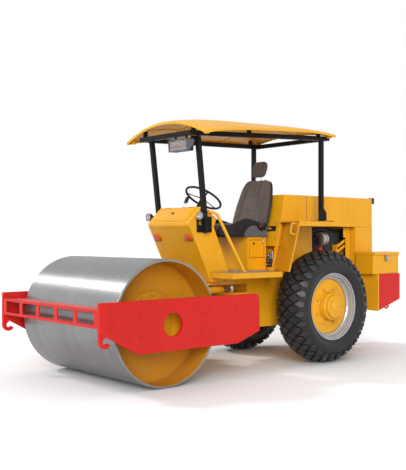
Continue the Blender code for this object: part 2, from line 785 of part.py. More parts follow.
def rear_frame():
    """The rear tub: side, front and floor walls, hitch ears, deck bearers and the rear bulkhead."""
    front, rear = aft(FRAME_FRONT_S), aft(FRAME_REAR_S)
    low, high = (-FRAME_HALF, front, FRAME_FOOT), (FRAME_HALF, rear + WELD, FRAME_TOP)
    tub = box("rear_frame", low, high, "yellow_paint")
    upper = TONGUE_HIGH + RUN
    lower = TONGUE_LOW - RUN - EAR_THICKNESS
    half = EAR_THICKNESS / 2
    weld(tub, plan_outline("upper_ear", ear_points(UPPER_EAR_HALF), upper + half, EAR_THICKNESS))
    weld(tub, plan_outline("lower_ear", ear_points(LOWER_EAR_HALF), lower + half, EAR_THICKNESS))
    bearer_foot = CONSOLE_FOOT - BEARER_DEPTH
    for side in (-1, 1):
        near, far = sorted((side * (FRAME_HALF - BEARER_WIDTH), side * FRAME_HALF))
        heel = aft(HEEL_S) + SEAT
        low, high = (near, aft(BEARER_FRONT_S), bearer_foot), (far, heel + WELD, CONSOLE_FOOT - SEAT)
        weld(tub, box(f"console_bearer_{side}", low, high))
        weld(tub, box(f"deck_bearer_{side}", (near, heel, bearer_foot), (far, front + WELD, FRAME_TOP)))
        boss = Vector((side * ROD_EYE_X, PIVOT_Y, upper + EAR_THICKNESS - WELD))
        seat = Vector((side * ROD_EYE_X, PIVOT_Y, CYLINDER_Z - EYE_HEIGHT / 2 - SEAT))
        weld(tub, rod(f"rod_boss_{side}", boss, seat, EYE_RADIUS * 0.7, sides=20))
    inside = FRAME_HALF - FRAME_WALL
    low = (-inside, front + FRAME_WALL, FRAME_FOOT + FRAME_WALL)
    cut(tub, box("tub_inside", low, (inside, rear - FRAME_WALL, FRAME_TOP + FRAME_WALL)))
    reach = FRAME_HALF + FRAME_WALL
    ends = (-reach, AXLE_Y, TYRE_RADIUS), (reach, AXLE_Y, TYRE_RADIUS)
    cut(tub, rod("axle_hole", ends[0], ends[1], AXLE_TUBE + RUN, sides=20))
    ends = (0, PIVOT_Y, lower + WELD), (0, PIVOT_Y, upper + EAR_THICKNESS + 0.012)
    weld(tub, rod("pivot_pin", ends[0], ends[1], PIN_RADIUS, sides=24))
    plate = weight_points(rear, rear + BULKHEAD_THICKNESS)
    return weld(tub, side_outline("bulkhead", plate, 0, 2 * WEIGHT_HALF))


def weight_points(front, rear):
    """The counterweight's side outline between two stations, its foot rising to the rear."""
    start_y = aft(FRAME_REAR_S)
    rise = (WEIGHT_REAR_FOOT - WEIGHT_FOOT) / (REAR_Y - start_y)
    return [
        (front, WEIGHT_TOP), (front, WEIGHT_FOOT + rise * (front - start_y)),
        (rear, WEIGHT_FOOT + rise * (rear - start_y)), (rear, WEIGHT_TOP),
    ]


def counterweight():
    """The cast weight behind the bulkhead, with a lashing ring under each side."""
    front = aft(FRAME_REAR_S) + BULKHEAD_THICKNESS + SEAT
    weight = side_outline("counterweight", weight_points(front, REAR_Y), 0, 2 * WEIGHT_HALF, "red_paint")
    ring_y = REAR_Y - TOW_RING_AHEAD
    slope = (WEIGHT_REAR_FOOT - WEIGHT_FOOT) / (REAR_Y - aft(FRAME_REAR_S))
    foot = WEIGHT_REAR_FOOT - slope * TOW_RING_AHEAD
    for side in (-1, 1):
        ring = [
            (TOW_RING_BAR * math.cos(a), TOW_RING_RADIUS + TOW_RING_BAR * math.sin(a))
            for a in (2 * math.pi * k / 6 for k in range(6))
        ]
        at = (side * TOW_RING_X, ring_y, foot - TOW_RING_RADIUS + TOW_RING_BAR / 2)
        weld(weight, turned(f"tow_ring_{side}", ring, None, 14, at))
    return weight


def rear_axle():
    """The axle housing, bolted to the frame's sides by collars, with a flange at each wheel disc."""
    end = TYRE_X + RIM_HALF_WIDTH - DISC_RECESS - DISC_THICKNESS - SEAT
    flange = end - AXLE_FLANGE_THICKNESS
    collar = FRAME_HALF + SEAT
    half = [
        (0, AXLE_BODY_RADIUS), (AXLE_BODY_HALF * 0.6, AXLE_BODY_RADIUS), (AXLE_BODY_HALF, AXLE_TUBE),
        (collar, AXLE_TUBE), (collar, AXLE_COLLAR), (collar + AXLE_COLLAR_WIDTH, AXLE_COLLAR),
        (collar + AXLE_COLLAR_WIDTH, AXLE_TUBE), (flange, AXLE_TUBE), (flange, AXLE_FLANGE),
        (end, AXLE_FLANGE), (end, 0),
    ]
    profile = [(-x, r) for x, r in reversed(half[1:])] + half[1:]
    return turned("rear_axle", profile, "cast_dark", 20, (0, AXLE_Y, TYRE_RADIUS))


def tread_radius(x):
    """The groove floor's radius at a distance from the tyre's middle."""
    return TYRE_RADIUS - LUG_DEPTH - CROWN_DROP * (x / TREAD_HALF) ** 2


def tyre_ring(work, x, radius, side, shift=0.0):
    """One ring of points round the tyre, in step with the rim's facets when not shifted."""
    ring = []
    for index in range(LUGS_AROUND):
        angle = 2 * math.pi * (index + shift) / LUGS_AROUND
        ring.append(work.verts.new((x, radius * math.sin(angle), -side * radius * math.cos(angle))))
    return ring


def tyre(name, side):
    """A lugged tyre as one closed skin: a lattice of diamonds for the tread, rings for the walls."""
    work = bmesh.new()
    rings = []
    for row in range(LUG_ROWS + 2):
        x = -TREAD_HALF + 2 * TREAD_HALF * row / (LUG_ROWS + 1)
        rings.append(tyre_ring(work, x, tread_radius(x), side, 0.5 * (row % 2)))
    diamonds = []
    around = range(LUGS_AROUND)
    for row in range(1, LUG_ROWS + 1):
        for index in around:
            beside = (index + row % 2) % LUGS_AROUND
            after = (index + 1) % LUGS_AROUND
            corners = rings[row - 1][beside], rings[row][after], rings[row + 1][beside], rings[row][index]
            diamonds.append(work.faces.new(corners))
    half = TYRE_WIDTH / 2
    walls = [(half, BULGE_RADIUS), (RIM_HALF_WIDTH, RIM_RADIUS + SEAT)]
    beads = []
    for way, edge, inner in ((-1, rings[0], rings[1]), (1, rings[-1], rings[-2])):
        for index in around:
            tip = inner[index] if len(rings) % 2 else inner[(index + (way > 0)) % LUGS_AROUND]
            work.faces.new((edge[index], edge[(index + 1) % LUGS_AROUND], tip))
        for x, radius in walls:
            ring = tyre_ring(work, way * x, radius, side)
            for index in around:
                after = (index + 1) % LUGS_AROUND
                work.faces.new((edge[index], edge[after], ring[after], ring[index]))
            edge = ring
        beads.append(edge)
    for index in around:
        after = (index + 1) % LUGS_AROUND
        work.faces.new((beads[0][index], beads[0][after], beads[1][after], beads[1][index]))
    bmesh.ops.recalc_face_normals(work, faces=work.faces)
    bmesh.ops.inset_individual(work, faces=diamonds, thickness=LUG_SLOPE, depth=LUG_DEPTH)
    made = from_bmesh(name, work, "rubber")
    made.location = (side * TYRE_X, AXLE_Y, TYRE_RADIUS)
    return made


def rim(name, side):
    """The silver rim: flanges, bead seats and the well, with the disc's seat inside."""
    outer = RIM_RADIUS
    half = RIM_HALF_WIDTH
    well = RIM_WELL
    face = half - DISC_RECESS
    wall = RIM_WALL
    seat = DISC_RADIUS + SEAT
    profile = [
        (-half, outer), (half, outer), (half, outer - wall), (half - 0.02, outer - 2 * wall),
        (half - 0.035, well), (face + 0.012, well - 0.004), (face, seat),
        (face - DISC_THICKNESS - 0.01, seat), (-half + 0.05, well), (-half, outer - 2 * wall),
    ]
    at = (side * TYRE_X, AXLE_Y, TYRE_RADIUS)
    return turned(name, profile, "silver_paint", LUGS_AROUND, at, side)


def wheel_disc(name, side):
    """The yellow disc with its nuts, and the geared hub that reaches out to the rim's face."""
    face = RIM_HALF_WIDTH - DISC_RECESS
    back = face - DISC_THICKNESS
    reach = face + WHEEL_HUB_REACH
    profile = [
        (back, 0), (back, DISC_RADIUS), (face, DISC_RADIUS), (face, WHEEL_HUB_RADIUS),
        (face + WHEEL_HUB_REACH * 0.6, WHEEL_HUB_RADIUS), (face + WHEEL_HUB_REACH * 0.75, WHEEL_CAP_RADIUS),
        (reach - 0.01, WHEEL_CAP_RADIUS), (reach, WHEEL_CAP_RADIUS - 0.01), (reach, WHEEL_CAP_BOSS),
        (reach + 0.01, WHEEL_CAP_BOSS - 0.006), (reach + 0.01, 0),
    ]
    at = (side * TYRE_X, AXLE_Y, TYRE_RADIUS)
    disc = turned(name, profile, "yellow_paint", LUGS_AROUND, at, side)
    for index in range(LUG_NUTS):
        angle = 2 * math.pi * (index + 0.5) / LUG_NUTS
        y = AXLE_Y + LUG_NUT_CIRCLE * math.cos(angle)
        z = TYRE_RADIUS + LUG_NUT_CIRCLE * math.sin(angle)
        foot = (side * (TYRE_X + face - WELD), y, z)
        tip = (side * (TYRE_X + face + 0.02), y, z)
        weld(disc, rod(f"{name}_nut_{index}", foot, tip, LUG_NUT_RADIUS, sides=6))
    return disc


def rear_wheels():
    """Both driven wheels, each turning about the rear axle."""
    for side in (-1, 1):
        name = side_name(side)
        axis = pivot_empty("wheel_axis_" + name, (side * TYRE_X, AXLE_Y, TYRE_RADIUS))
        tyre_made = tyre("tyre_" + name, side)
        carry(axis, tyre_made, rim("rim_" + name, side), wheel_disc("wheel_disc_" + name, side))


def deck():
    """The operator's floor: a pan with wings beside the console, hollow under each wing."""
    notch = CONSOLE_HALF + SEAT
    heel = aft(HEEL_S) + SEAT
    front, wing = aft(DECK_FRONT_S), aft(DECK_WING_REAR_S)
    rear = aft(DECK_REAR_S)
    right = [(notch, heel), (notch, front), (DECK_HALF, front), (DECK_HALF, wing), (BODY_HALF, rear)]
    points = [(-x, y) for x, y in reversed(right)] + right
    middle = (DECK_FOOT + DECK_TOP) / 2
    floor = plan_outline("deck", points, middle, DECK_TOP - DECK_FOOT, "yellow_paint")
    for side in (-1, 1):
        near, far = sorted((side * (notch + DECK_SKIN), side * (DECK_HALF - DECK_SKIN)))
        low = (near, front + DECK_SKIN, DECK_FOOT - DECK_SKIN)
        cut(floor, box(f"deck_inside_{side}", low, (far, wing - DECK_SKIN, DECK_TOP - DECK_SKIN)))
    return floor


def console_points():
    """The console's side outline, clockwise from the lip's top at the front."""
    front = LIP_S + LIP_SETBACK
    heights = (LIP_TOP - LIP_DROP, LIP_TOP - 2 * LIP_DROP)
    return [
        (aft(LIP_S), LIP_TOP), (aft(RIDGE_S) - RIDGE_FLAT, RIDGE_Z), (aft(RIDGE_S), RIDGE_Z),
        (aft(NOSE_S), NOSE_Z), (aft(WAIST_S), WAIST_Z), (aft(HEEL_S), DECK_TOP),
        (aft(HEEL_S), DECK_FOOT), (aft(FOOT_REAR_S), CONSOLE_FOOT), (aft(FOOT_FRONT_S), CONSOLE_FOOT),
        (aft(front), heights[1]), (aft(LIP_S), heights[0]),
    ]


def lid_slope():
    """The console top's slope: a point at the ridge, and the unit vectors down it and out of it."""
    ridge = Vector((0, aft(RIDGE_S) - RIDGE_FLAT, RIDGE_Z))
    lip = Vector((0, aft(LIP_S), LIP_TOP))
    down = (lip - ridge).normalized()
    out = Vector((0, down.z, -down.y))
    return ridge, down, out, (lip - ridge).length


def on_slope(made, distance, height):
    """Lays a box along the console top's slope, its middle at a distance down from the ridge."""
    ridge, down, out, _ = lid_slope()
    made.location = ridge + down * distance + out * height
    made.rotation_euler = (math.atan2(-down.z, -down.y), 0, 0)
    return made


def console():
    """The dash cabinet, leaning forward over the drum, with a service recess under its lid."""
    shape = side_outline("console", console_points(), 0, 2 * CONSOLE_HALF, "yellow_paint")
    length = lid_slope()[3]
    deep = RECESS_DEPTH
    half = length / 2 - RECESS_RIM
    recess = box("console_recess", (-RECESS_HALF, -half, -deep), (RECESS_HALF, half, deep))
    on_slope(recess, length / 2, 0)
    return cut(shape, recess)


def console_lid():
    """The pan lid on the console's slope, hinged along its upper edge."""
    length = lid_slope()[3]
    half = length / 2 - LID_MARGIN
    thick = LID_THICKNESS / 2
    lid = box("console_lid", (-LID_HALF, -half, -thick), (LID_HALF, half, thick), "yellow_paint", 0.006)
    on_slope(lid, length / 2, thick + SEAT)
    ridge, down, out, _ = lid_slope()
    knob_foot = ridge + down * (length / 2) + out * (LID_THICKNESS - WELD)
    weld(lid, rod("lid_knob", knob_foot, knob_foot + out * 0.02, KNOB_RADIUS, sides=12))
    axis = pivot_empty("console_lid_axis", ridge + down * LID_MARGIN + out * thick)
    carry(axis, lid)
    return lid


def steering():
    """The column out of the console's rear slope, and the three spoked wheel on it."""
    hub = Vector((0, aft(STEER_HUB_S), STEER_HUB_Z))
    up = Vector((0, math.sin(COLUMN_TILT), math.cos(COLUMN_TILT)))
    nose = Vector((0, aft(NOSE_S), NOSE_Z))
    slope = (Vector((0, aft(RIDGE_S), RIDGE_Z)) - nose).normalized()
    normal = Vector((0, slope.z, -slope.y))
    along = (hub - nose).dot(normal) / up.dot(normal)
    foot = hub - up * (along - SEAT / up.dot(normal))
    column = rod("steering_column", hub - up * COLUMN_LENGTH, hub - up * SEAT, COLUMN_RADIUS, "black_paint")
    reach = 0.5
    below = box("column_foot_cut", (-reach, -reach, -reach), (reach, reach, 0))
    below.location = foot - normal * reach / 2
    below.rotation_euler = (math.atan2(-normal.y, normal.z), 0, 0)
    cut(column, below)
    wheel = rod("steering_wheel", hub, hub + up * 0.045, STEER_HUB_RADIUS, "black_paint", 20)
    grip = [
        (0.03 + STEER_GRIP * math.cos(a), STEER_RADIUS + STEER_GRIP * math.sin(a))
        for a in (2 * math.pi * k / 6 for k in range(6))
    ]
    ring = turned("steering_grip", grip, None, 28, hub)
    ring.rotation_mode = "QUATERNION"
    ring.rotation_quaternion = up.to_track_quat("Z", "Y")
    weld(wheel, ring)
    across = Vector((1, 0, 0))
    level = up.cross(across)
    for spoke in range(STEER_SPOKES):
        angle = 2 * math.pi * (spoke + 0.75) / STEER_SPOKES
        way = across * math.cos(angle) + level * math.sin(angle)
        root = hub + up * 0.03
        end = hub + up * 0.03 + way * STEER_RADIUS
        weld(wheel, rod(f"spoke_{spoke}", root, end, 0.007, sides=10))
    carry(pivot_empty("steering_wheel_axis", hub), wheel)


def control_levers():
    """Two levers with grips on one plate, on the console's rear slope."""
    nose = Vector((0, aft(NOSE_S), NOSE_Z))
    ridge = Vector((0, aft(RIDGE_S), RIDGE_Z))
    slope = (ridge - nose).normalized()
    normal = Vector((0, slope.z, -slope.y))
    middle = (nose + ridge) / 2 + Vector((LEVER_X, 0, 0))
    plate = box("control_levers", (-0.055, -0.045, 0), (0.055, 0.045, 0.008), "black_paint")
    plate.location = middle + normal * (0.004 + SEAT)
    plate.rotation_euler = (math.atan2(-normal.y, normal.z), 0, 0)
    for index, lean in enumerate((-0.05, 0.03)):
        x = (index - 0.5) * LEVER_SPACING
        foot = middle + Vector((x, 0, 0)) + normal * LEVER_RADIUS * 1.2
        tip = foot + Vector((-0.02, lean, LEVER_LENGTH))
        way = (tip - foot).normalized()
        weld(plate, rod(f"lever_{index}", foot, tip - way * GRIP_LENGTH * 0.5, LEVER_RADIUS, sides=10))
        weld(plate, rod(f"grip_{index}", tip - way * GRIP_LENGTH, tip, GRIP_RADIUS, sides=12))
    return plate


def handrails():
    """A bent tube on each side, from the console's side down to the deck."""
    for side in (-1, 1):
        points = [
            (side * (CONSOLE_HALF + SEAT), aft(RAIL_START_S), RAIL_START_Z),
            (side * (RAIL_BEND_X - 0.02), aft(RAIL_START_S) + 0.02, RAIL_START_Z),
            (side * RAIL_BEND_X, aft(RAIL_BEND_S) - 0.03, RAIL_BEND_Z + 0.02),
            (side * (RAIL_BEND_X + 0.008), aft(RAIL_BEND_S), RAIL_BEND_Z - 0.03),
            (side * RAIL_FOOT_X, aft(RAIL_FOOT_S), DECK_TOP + SEAT),
        ]
        curve = bpy.data.curves.new("handrail_" + side_name(side), "CURVE")
        curve.dimensions = "3D"
        curve.bevel_depth = RAIL_RADIUS
        curve.bevel_resolution = 2
        curve.use_fill_caps = True
        line = curve.splines.new("POLY")
        line.points.add(len(points) - 1)
        for knot, point in zip(line.points, points):
            knot.co = (*point, 1.0)
        rail = bpy.data.objects.new("handrail_" + side_name(side), curve)
        place(rail, "yellow_paint")
        trim_handrail(rail, side)


def trim_handrail(rail, side):
    """Turns the tube into a mesh and trims its ends flat on the console's side and the deck."""
    bpy.context.view_layer.update()
    ready = rail.evaluated_get(bpy.context.evaluated_depsgraph_get())
    mesh = bpy.data.meshes.new_from_object(ready)
    work = bmesh.new()
    work.from_mesh(mesh)
    bmesh.ops.remove_doubles(work, verts=work.verts, dist=1e-5)
    bmesh.ops.recalc_face_normals(work, faces=work.faces)
    name = rail.name
    bpy.data.objects.remove(rail)
    made = from_bmesh(name, work, "yellow_paint", smooth=True)
    near, far = sorted((side * (CONSOLE_HALF + SEAT), side * (CONSOLE_HALF - 0.2)))
    console_side = box(name + "_console_cut", (near, aft(LIP_S), DECK_TOP), (far, aft(HEEL_S), 2.0))
    low = (-1.0, aft(DECK_FRONT_S), DECK_FOOT)
    deck_cut = box(name + "_deck_cut", low, (1.0, AXLE_Y, DECK_TOP + SEAT))
    cut(made, console_side, deck_cut)


def seat_box():
    """The cabinet under the seat, hollow, with a drop-down door on the machine's left."""
    low = (-BOX_HALF, aft(BOX_FRONT_S), DECK_TOP + SEAT)
    high = (BOX_HALF, aft(BOX_REAR_S), BOX_TOP)
    cabinet = box("seat_box", low, high, "yellow_paint")
    doorway_low = aft(BOX_FRONT_S) + DOOR_MARGIN
    doorway_high = aft(BOX_REAR_S) - DOOR_MARGIN
    inside_low = (-BOX_HALF + BOX_WALL, aft(BOX_FRONT_S) + BOX_WALL, DECK_TOP + BOX_WALL)
    inside_high = (BOX_HALF - BOX_WALL - 0.01, aft(BOX_REAR_S) - BOX_WALL, BOX_TOP - BOX_WALL)
    cut(cabinet, box("seat_box_inside", inside_low, inside_high))
    top = BOX_TOP - DOOR_MARGIN
    opening_low = (BOX_HALF - 0.05, doorway_low, DOOR_FOOT)
    cut(cabinet, box("seat_box_doorway", opening_low, (BOX_HALF + 0.05, doorway_high, top)))
    door_low = (BOX_HALF - DOOR_THICKNESS, doorway_low + RUN, DOOR_FOOT + RUN)
    door_high = (BOX_HALF, doorway_high - RUN, top - RUN)
    door = box("seat_box_door", door_low, door_high, "yellow_paint")
    centre_y = (doorway_low + doorway_high) / 2
    lock_z = top - 0.05
    foot, tip = (BOX_HALF - WELD, centre_y - 0.07, lock_z), (BOX_HALF + 0.008, centre_y - 0.07, lock_z)
    weld(door, rod("door_lock", foot, tip, 0.014, sides=12))
    hinge_x = BOX_HALF + HINGE_RADIUS / 2
    hinge_z = DOOR_FOOT + RUN + HINGE_RADIUS * 0.6
    joint = (doorway_low + RUN / 2, doorway_high - RUN / 2)
    knuckle = [(hinge_x, y, hinge_z) for y in (joint[0] + SEAT / 2, joint[1] - SEAT / 2)]
    weld(door, rod("door_hinge", knuckle[0], knuckle[1], HINGE_RADIUS, sides=10))
    for index, (inner, way) in enumerate(zip(joint, (-1, 1))):
        near = (hinge_x, inner + way * SEAT / 2, hinge_z)
        far = (hinge_x, inner + way * DOOR_MARGIN * 0.7, hinge_z)
        weld(cabinet, rod(f"box_hinge_{index}", near, far, HINGE_RADIUS, sides=10))
    carry(pivot_empty("seat_box_door_axis", knuckle[0]), door)


def seat():
    """The operator's seat: base with side covers, cushion, tilted back and headrest."""
    base_low = BOX_TOP + SEAT
    base_high = base_low + SEAT_BASE_HEIGHT
    rear = aft(BOX_REAR_S)
    reach = CUSHION_HALF + SEAT
    low = (-reach - WELD, aft(CUSHION_FRONT_S) + 0.06, base_low)
    base = box("seat_base", low, (reach + WELD, rear, base_high), "black_paint")
    for side in (-1, 1):
        start_y, end_y = aft(CUSHION_REAR_S) - 0.13, rear + 0.02
        top = base_low + COVER_HEIGHT
        points = [(start_y, base_low), (end_y, base_low), (end_y, top - 0.025)]
        points += [(end_y - 0.14, top - 0.02)] + arc((start_y + 0.06, top - 0.06), 0.06, 70, 180, 6)
        middle = side * (reach + COVER_THICKNESS / 2)
        weld(base, side_outline(f"seat_cover_{side}", points, middle, COVER_THICKNESS))
    cushion_low = base_high + SEAT
    half = CUSHION_HALF - 0.012
    low = (-half, aft(CUSHION_FRONT_S), cushion_low)
    high = (half, aft(CUSHION_REAR_S), cushion_low + CUSHION_HEIGHT)
    soft = box("seat_cushion", low, high, "seat_cloth", 0.035)
    lift = (BACK_THICKNESS / 2 - BACK_ROUNDING) * math.sin(BACK_TILT)
    back_foot = Vector((0, aft(BACK_FOOT_S), base_high + SEAT + lift))
    up = Vector((0, math.sin(BACK_TILT), math.cos(BACK_TILT)))
    high = (CUSHION_HALF, BACK_THICKNESS / 2, BACK_HEIGHT)
    back = box("seat_back", (-high[0], -high[1], 0), high, "seat_cloth", BACK_ROUNDING)
    back.location = back_foot + up * (BACK_HEIGHT / 2)
    back.rotation_euler = (-BACK_TILT, 0, 0)
    top = back.location + up * (BACK_HEIGHT / 2)
    high = (HEADREST_HALF, HEADREST_THICKNESS / 2, HEADREST_HEIGHT)
    rest = box("headrest", (-high[0], -high[1], 0), high, "seat_cloth", 0.03)
    rest.location = top + up * (HEADREST_GAP + HEADREST_HEIGHT / 2)
    rest.rotation_euler = (-BACK_TILT, 0, 0)
    for side in (-1, 1):
        x = Vector((side * HEADREST_HALF * 0.45, 0, 0))
        foot, end = top + x + up * SEAT, top + x + up * (HEADREST_GAP + 0.02)
        weld(rest, rod(f"headrest_rod_{side}", foot, end, HEADREST_ROD_RADIUS, sides=10))
    return soft


def cowl():
    """The tank housing between seat and hood: raked front, a niche low down for the valves."""
    deck_level = DECK_TOP + SEAT
    foot = FRAME_TOP + SEAT
    points = [
        (aft(COWL_FOOT_S), foot), (aft(COWL_FOOT_S), deck_level), (aft(COWL_TOP_S), BODY_TOP),
        (aft(COWL_REAR_S), BODY_TOP), (aft(COWL_REAR_S), foot),
    ]
    body = side_outline("cowl", points, 0, 2 * BODY_HALF, "yellow_paint")
    low = (NICHE_X - NICHE_HALF_WIDTH, aft(COWL_FOOT_S) - 0.05, deck_level + 0.03)
    high = (NICHE_X + NICHE_HALF_WIDTH, aft(COWL_FOOT_S) + NICHE_DEPTH, NICHE_TOP)
    return cut(body, box("valve_niche", low, high))


def valve_block():
    """The valves and short hoses in the cowl's niche."""
    foot = DECK_TOP + SEAT + 0.03 + SEAT
    y = aft(COWL_FOOT_S) + NICHE_DEPTH * 0.55
    low = (NICHE_X - 0.05, y - 0.03, foot)
    block = box("valve_block", low, (NICHE_X + 0.05, y + 0.03, foot + 0.09), "cast_dark")
    for index, x in enumerate((-0.03, 0.0, 0.03)):
        base = (NICHE_X + x, y, foot + 0.085)
        top = (NICHE_X + x, y, foot + 0.14 + 0.02 * index)
        weld(block, rod(f"valve_{index}", base, top, 0.011, sides=12))
    return block


def fenders():
    """The wheel fenders: a raked, splayed front panel, a flat top and a lip along the open edge."""
    for side in (-1, 1):
        name = "fender_" + side_name(side)
        inner = BODY_HALF + SEAT
        outer = FENDER_OUTER_X
        rear = aft(FENDER_REAR_S)
        top_low = FENDER_TOP - FENDER_SKIN
        free = BODY_HALF + RUN
        step = aft(COWL_REAR_S)
        plan = [
            (side * inner, aft(COWL_TOP_S) - 0.07), (side * outer, aft(FENDER_TOP_S)),
            (side * outer, rear), (side * free, rear), (side * free, step), (side * inner, step),
        ]
        shelf = plan_outline(name, plan, (top_low + FENDER_TOP) / 2, FENDER_SKIN, "yellow_paint")
        weld(shelf, fender_panel(name, side, inner, outer))
        near, far = sorted((side * outer, side * (outer - FENDER_SKIN)))
        low = (near, aft(FENDER_TOP_S) + 0.005, FENDER_TOP - FENDER_LIP)
        weld(shelf, box(name + "_lip", low, (far, rear, FENDER_TOP - WELD)))
        near, far = sorted((side * free, side * (outer - WELD)))
        low = (near, rear - FENDER_SKIN, FENDER_TOP - FENDER_LIP)
        weld(shelf, box(name + "_rear_lip", low, (far, rear, FENDER_TOP - WELD)))


def fender_panel(name, side, inner, outer):
    """The front panel, a slab between two splayed plan lines, its foot ahead of its top."""
    foot = DECK_TOP + SEAT
    top = FENDER_TOP - WELD
    foot_inner = aft(COWL_FOOT_S) + 0.01
    foot_outer = aft(FENDER_FOOT_S)
    lean = FENDER_TOP_S - FENDER_FOOT_S
    thick = FENDER_SKIN * 1.6
    work = bmesh.new()
    corners = []
    for z, shift in ((foot, 0.0), (top, lean)):
        ahead = (inner, foot_inner), (outer, foot_outer)
        behind = (outer, foot_outer + thick), (inner, foot_inner + thick)
        for x, y in ahead + behind:
            corners.append(work.verts.new((side * x, y + shift, z)))
    for face in ((0, 1, 2, 3), (4, 5, 6, 7), (0, 1, 5, 4), (1, 2, 6, 5), (2, 3, 7, 6), (3, 0, 4, 7)):
        work.faces.new([corners[index] for index in face])
    bmesh.ops.recalc_face_normals(work, faces=work.faces)
    return from_bmesh(name + "_panel", work, None)


def hood():
    """The engine hood: top, sides and a rear panel with slots, hinged along its front edge."""
    front, rear = aft(HOOD_FRONT_S), aft(HOOD_REAR_S)
    cover = box("hood", (-BODY_HALF, front, HOOD_FOOT), (BODY_HALF, rear, BODY_TOP), "yellow_paint")
    inside = BODY_HALF - HOOD_SKIN
    low = (-inside, front - HOOD_SKIN, HOOD_FOOT - HOOD_SKIN)
    cut(cover, box("hood_inside", low, (inside, rear - HOOD_SKIN, BODY_TOP - HOOD_SKIN)))
    slots = 6
    pitch = (BODY_TOP - HOOD_FOOT - 0.08) / slots
    for index in range(slots):
        z = HOOD_FOOT + 0.05 + index * pitch
        slot_low = (-BODY_HALF + 0.09, rear - 2 * HOOD_SKIN, z)
        slot_high = (BODY_HALF - 0.09, rear + HOOD_SKIN, z + pitch * 0.55)
        cut(cover, box(f"hood_slot_{index}", slot_low, slot_high))
    carry(pivot_empty("hood_axis", (0, front, BODY_TOP)), cover)


def radiator_housing():
    """The rear body under the hood: a duct with a slatted grille in its rear face."""
    front, rear = aft(HOUSING_FRONT_S), aft(HOOD_REAR_S)
    top = HOOD_FOOT - SEAT
    foot = FRAME_TOP + SEAT
    body = box("radiator_housing", (-BODY_HALF, front, foot), (BODY_HALF, rear, top), "yellow_paint")
    wall = HOUSING_WALL
    low = (-BODY_HALF + wall, front - wall, foot + wall)
    cut(body, box("duct", low, (BODY_HALF - wall, rear + wall, top - wall)))
    span = top - wall - (foot + wall)
    pitch = span / GRILLE_SLATS
    for index in range(1, GRILLE_SLATS):
        z = foot + wall + index * pitch
        slat_low = (-BODY_HALF + wall - WELD, rear - 0.045, z - GRILLE_BAR / 2)
        slat_high = (BODY_HALF - wall + WELD, rear - 0.012, z + GRILLE_BAR / 2)
        weld(body, box(f"slat_{index}", slat_low, slat_high))
    return body


def engine():
    """The engine as one plain block, with the alternator and the oil filter on its left side."""
    low = (-ENGINE_HALF, aft(ENGINE_FRONT_S), ENGINE_FOOT)
    block = box("engine_block", low, (ENGINE_HALF, aft(ENGINE_REAR_S), ENGINE_TOP), "cast_dark", 0.015)
    for side in (-1, 1):
        for station in (ENGINE_FRONT_S + 0.12, ENGINE_REAR_S - 0.12):
            near, far = sorted((side * (ENGINE_HALF - WELD), side * (FRAME_HALF - FRAME_WALL - SEAT)))
            foot = (near, aft(station) - 0.04, ENGINE_FOOT + 0.04)
            top = (far, aft(station) + 0.04, ENGINE_FOOT + 0.09)
            weld(block, box(f"mount_{side}_{station}", foot, top))
    x = ENGINE_HALF + ALTERNATOR_RADIUS + 0.004
    ends = [(x, aft(ALTERNATOR_S) + way * ALTERNATOR_LENGTH / 2, ALTERNATOR_Z) for way in (-1, 1)]
    alternator = rod("alternator", ends[0], ends[1], ALTERNATOR_RADIUS, "bare_steel", 28)
    foot_low = (ENGINE_HALF + SEAT, aft(ALTERNATOR_S) - 0.03, ALTERNATOR_Z - 0.03)
    weld(alternator, box("alternator_foot", foot_low, (x, aft(ALTERNATOR_S) + 0.03, ALTERNATOR_Z + 0.03)))
    filter_x = ENGINE_HALF + FILTER_RADIUS + 0.012
    ends = [(filter_x, aft(ALTERNATOR_S), FILTER_Z + way * FILTER_LENGTH / 2) for way in (-1, 1)]
    oil = rod("oil_filter", ends[0], ends[1], FILTER_RADIUS, "filter_red", 24)
    top = FILTER_Z + FILTER_LENGTH / 2
    head_low = (ENGINE_HALF + SEAT, aft(ALTERNATOR_S) - 0.025, top - 0.03)
    weld(oil, box("filter_head", head_low, (filter_x, aft(ALTERNATOR_S) + 0.025, top - WELD)))


def toolbox():
    """The steel box on the counterweight's left, with a hinged lid and a toggle latch."""
    front, rear = aft(TOOLBOX_FRONT_S), REAR_Y
    foot = WEIGHT_TOP + SEAT
    lid_foot = TOOLBOX_TOP
    case = box("toolbox", (TOOLBOX_INNER_X, front, foot), (TOOLBOX_OUTER_X, rear, lid_foot), "yellow_paint")
    wall = TOOLBOX_WALL
    low = (TOOLBOX_INNER_X + wall, front + wall, foot + wall)
    cut(case, box("toolbox_inside", low, (TOOLBOX_OUTER_X - wall, rear - wall, lid_foot + wall)))
    latch_y = (front + rear) / 2
    latch_low = (TOOLBOX_OUTER_X - WELD, latch_y - LATCH_WIDTH / 2, lid_foot - LATCH_HEIGHT)
    latch_high = (TOOLBOX_OUTER_X + 0.014, latch_y + LATCH_WIDTH / 2, lid_foot - 0.008)
    weld(case, box("latch", latch_low, latch_high))
    lid_low = (TOOLBOX_INNER_X, front, lid_foot + SEAT)
    lid_high = (TOOLBOX_OUTER_X + 0.004, rear, lid_foot + TOOLBOX_LID)
    lid = box("toolbox_lid", lid_low, lid_high, "yellow_paint")
    carry(pivot_empty("toolbox_lid_axis", (TOOLBOX_INNER_X, front, lid_foot + SEAT)), lid)


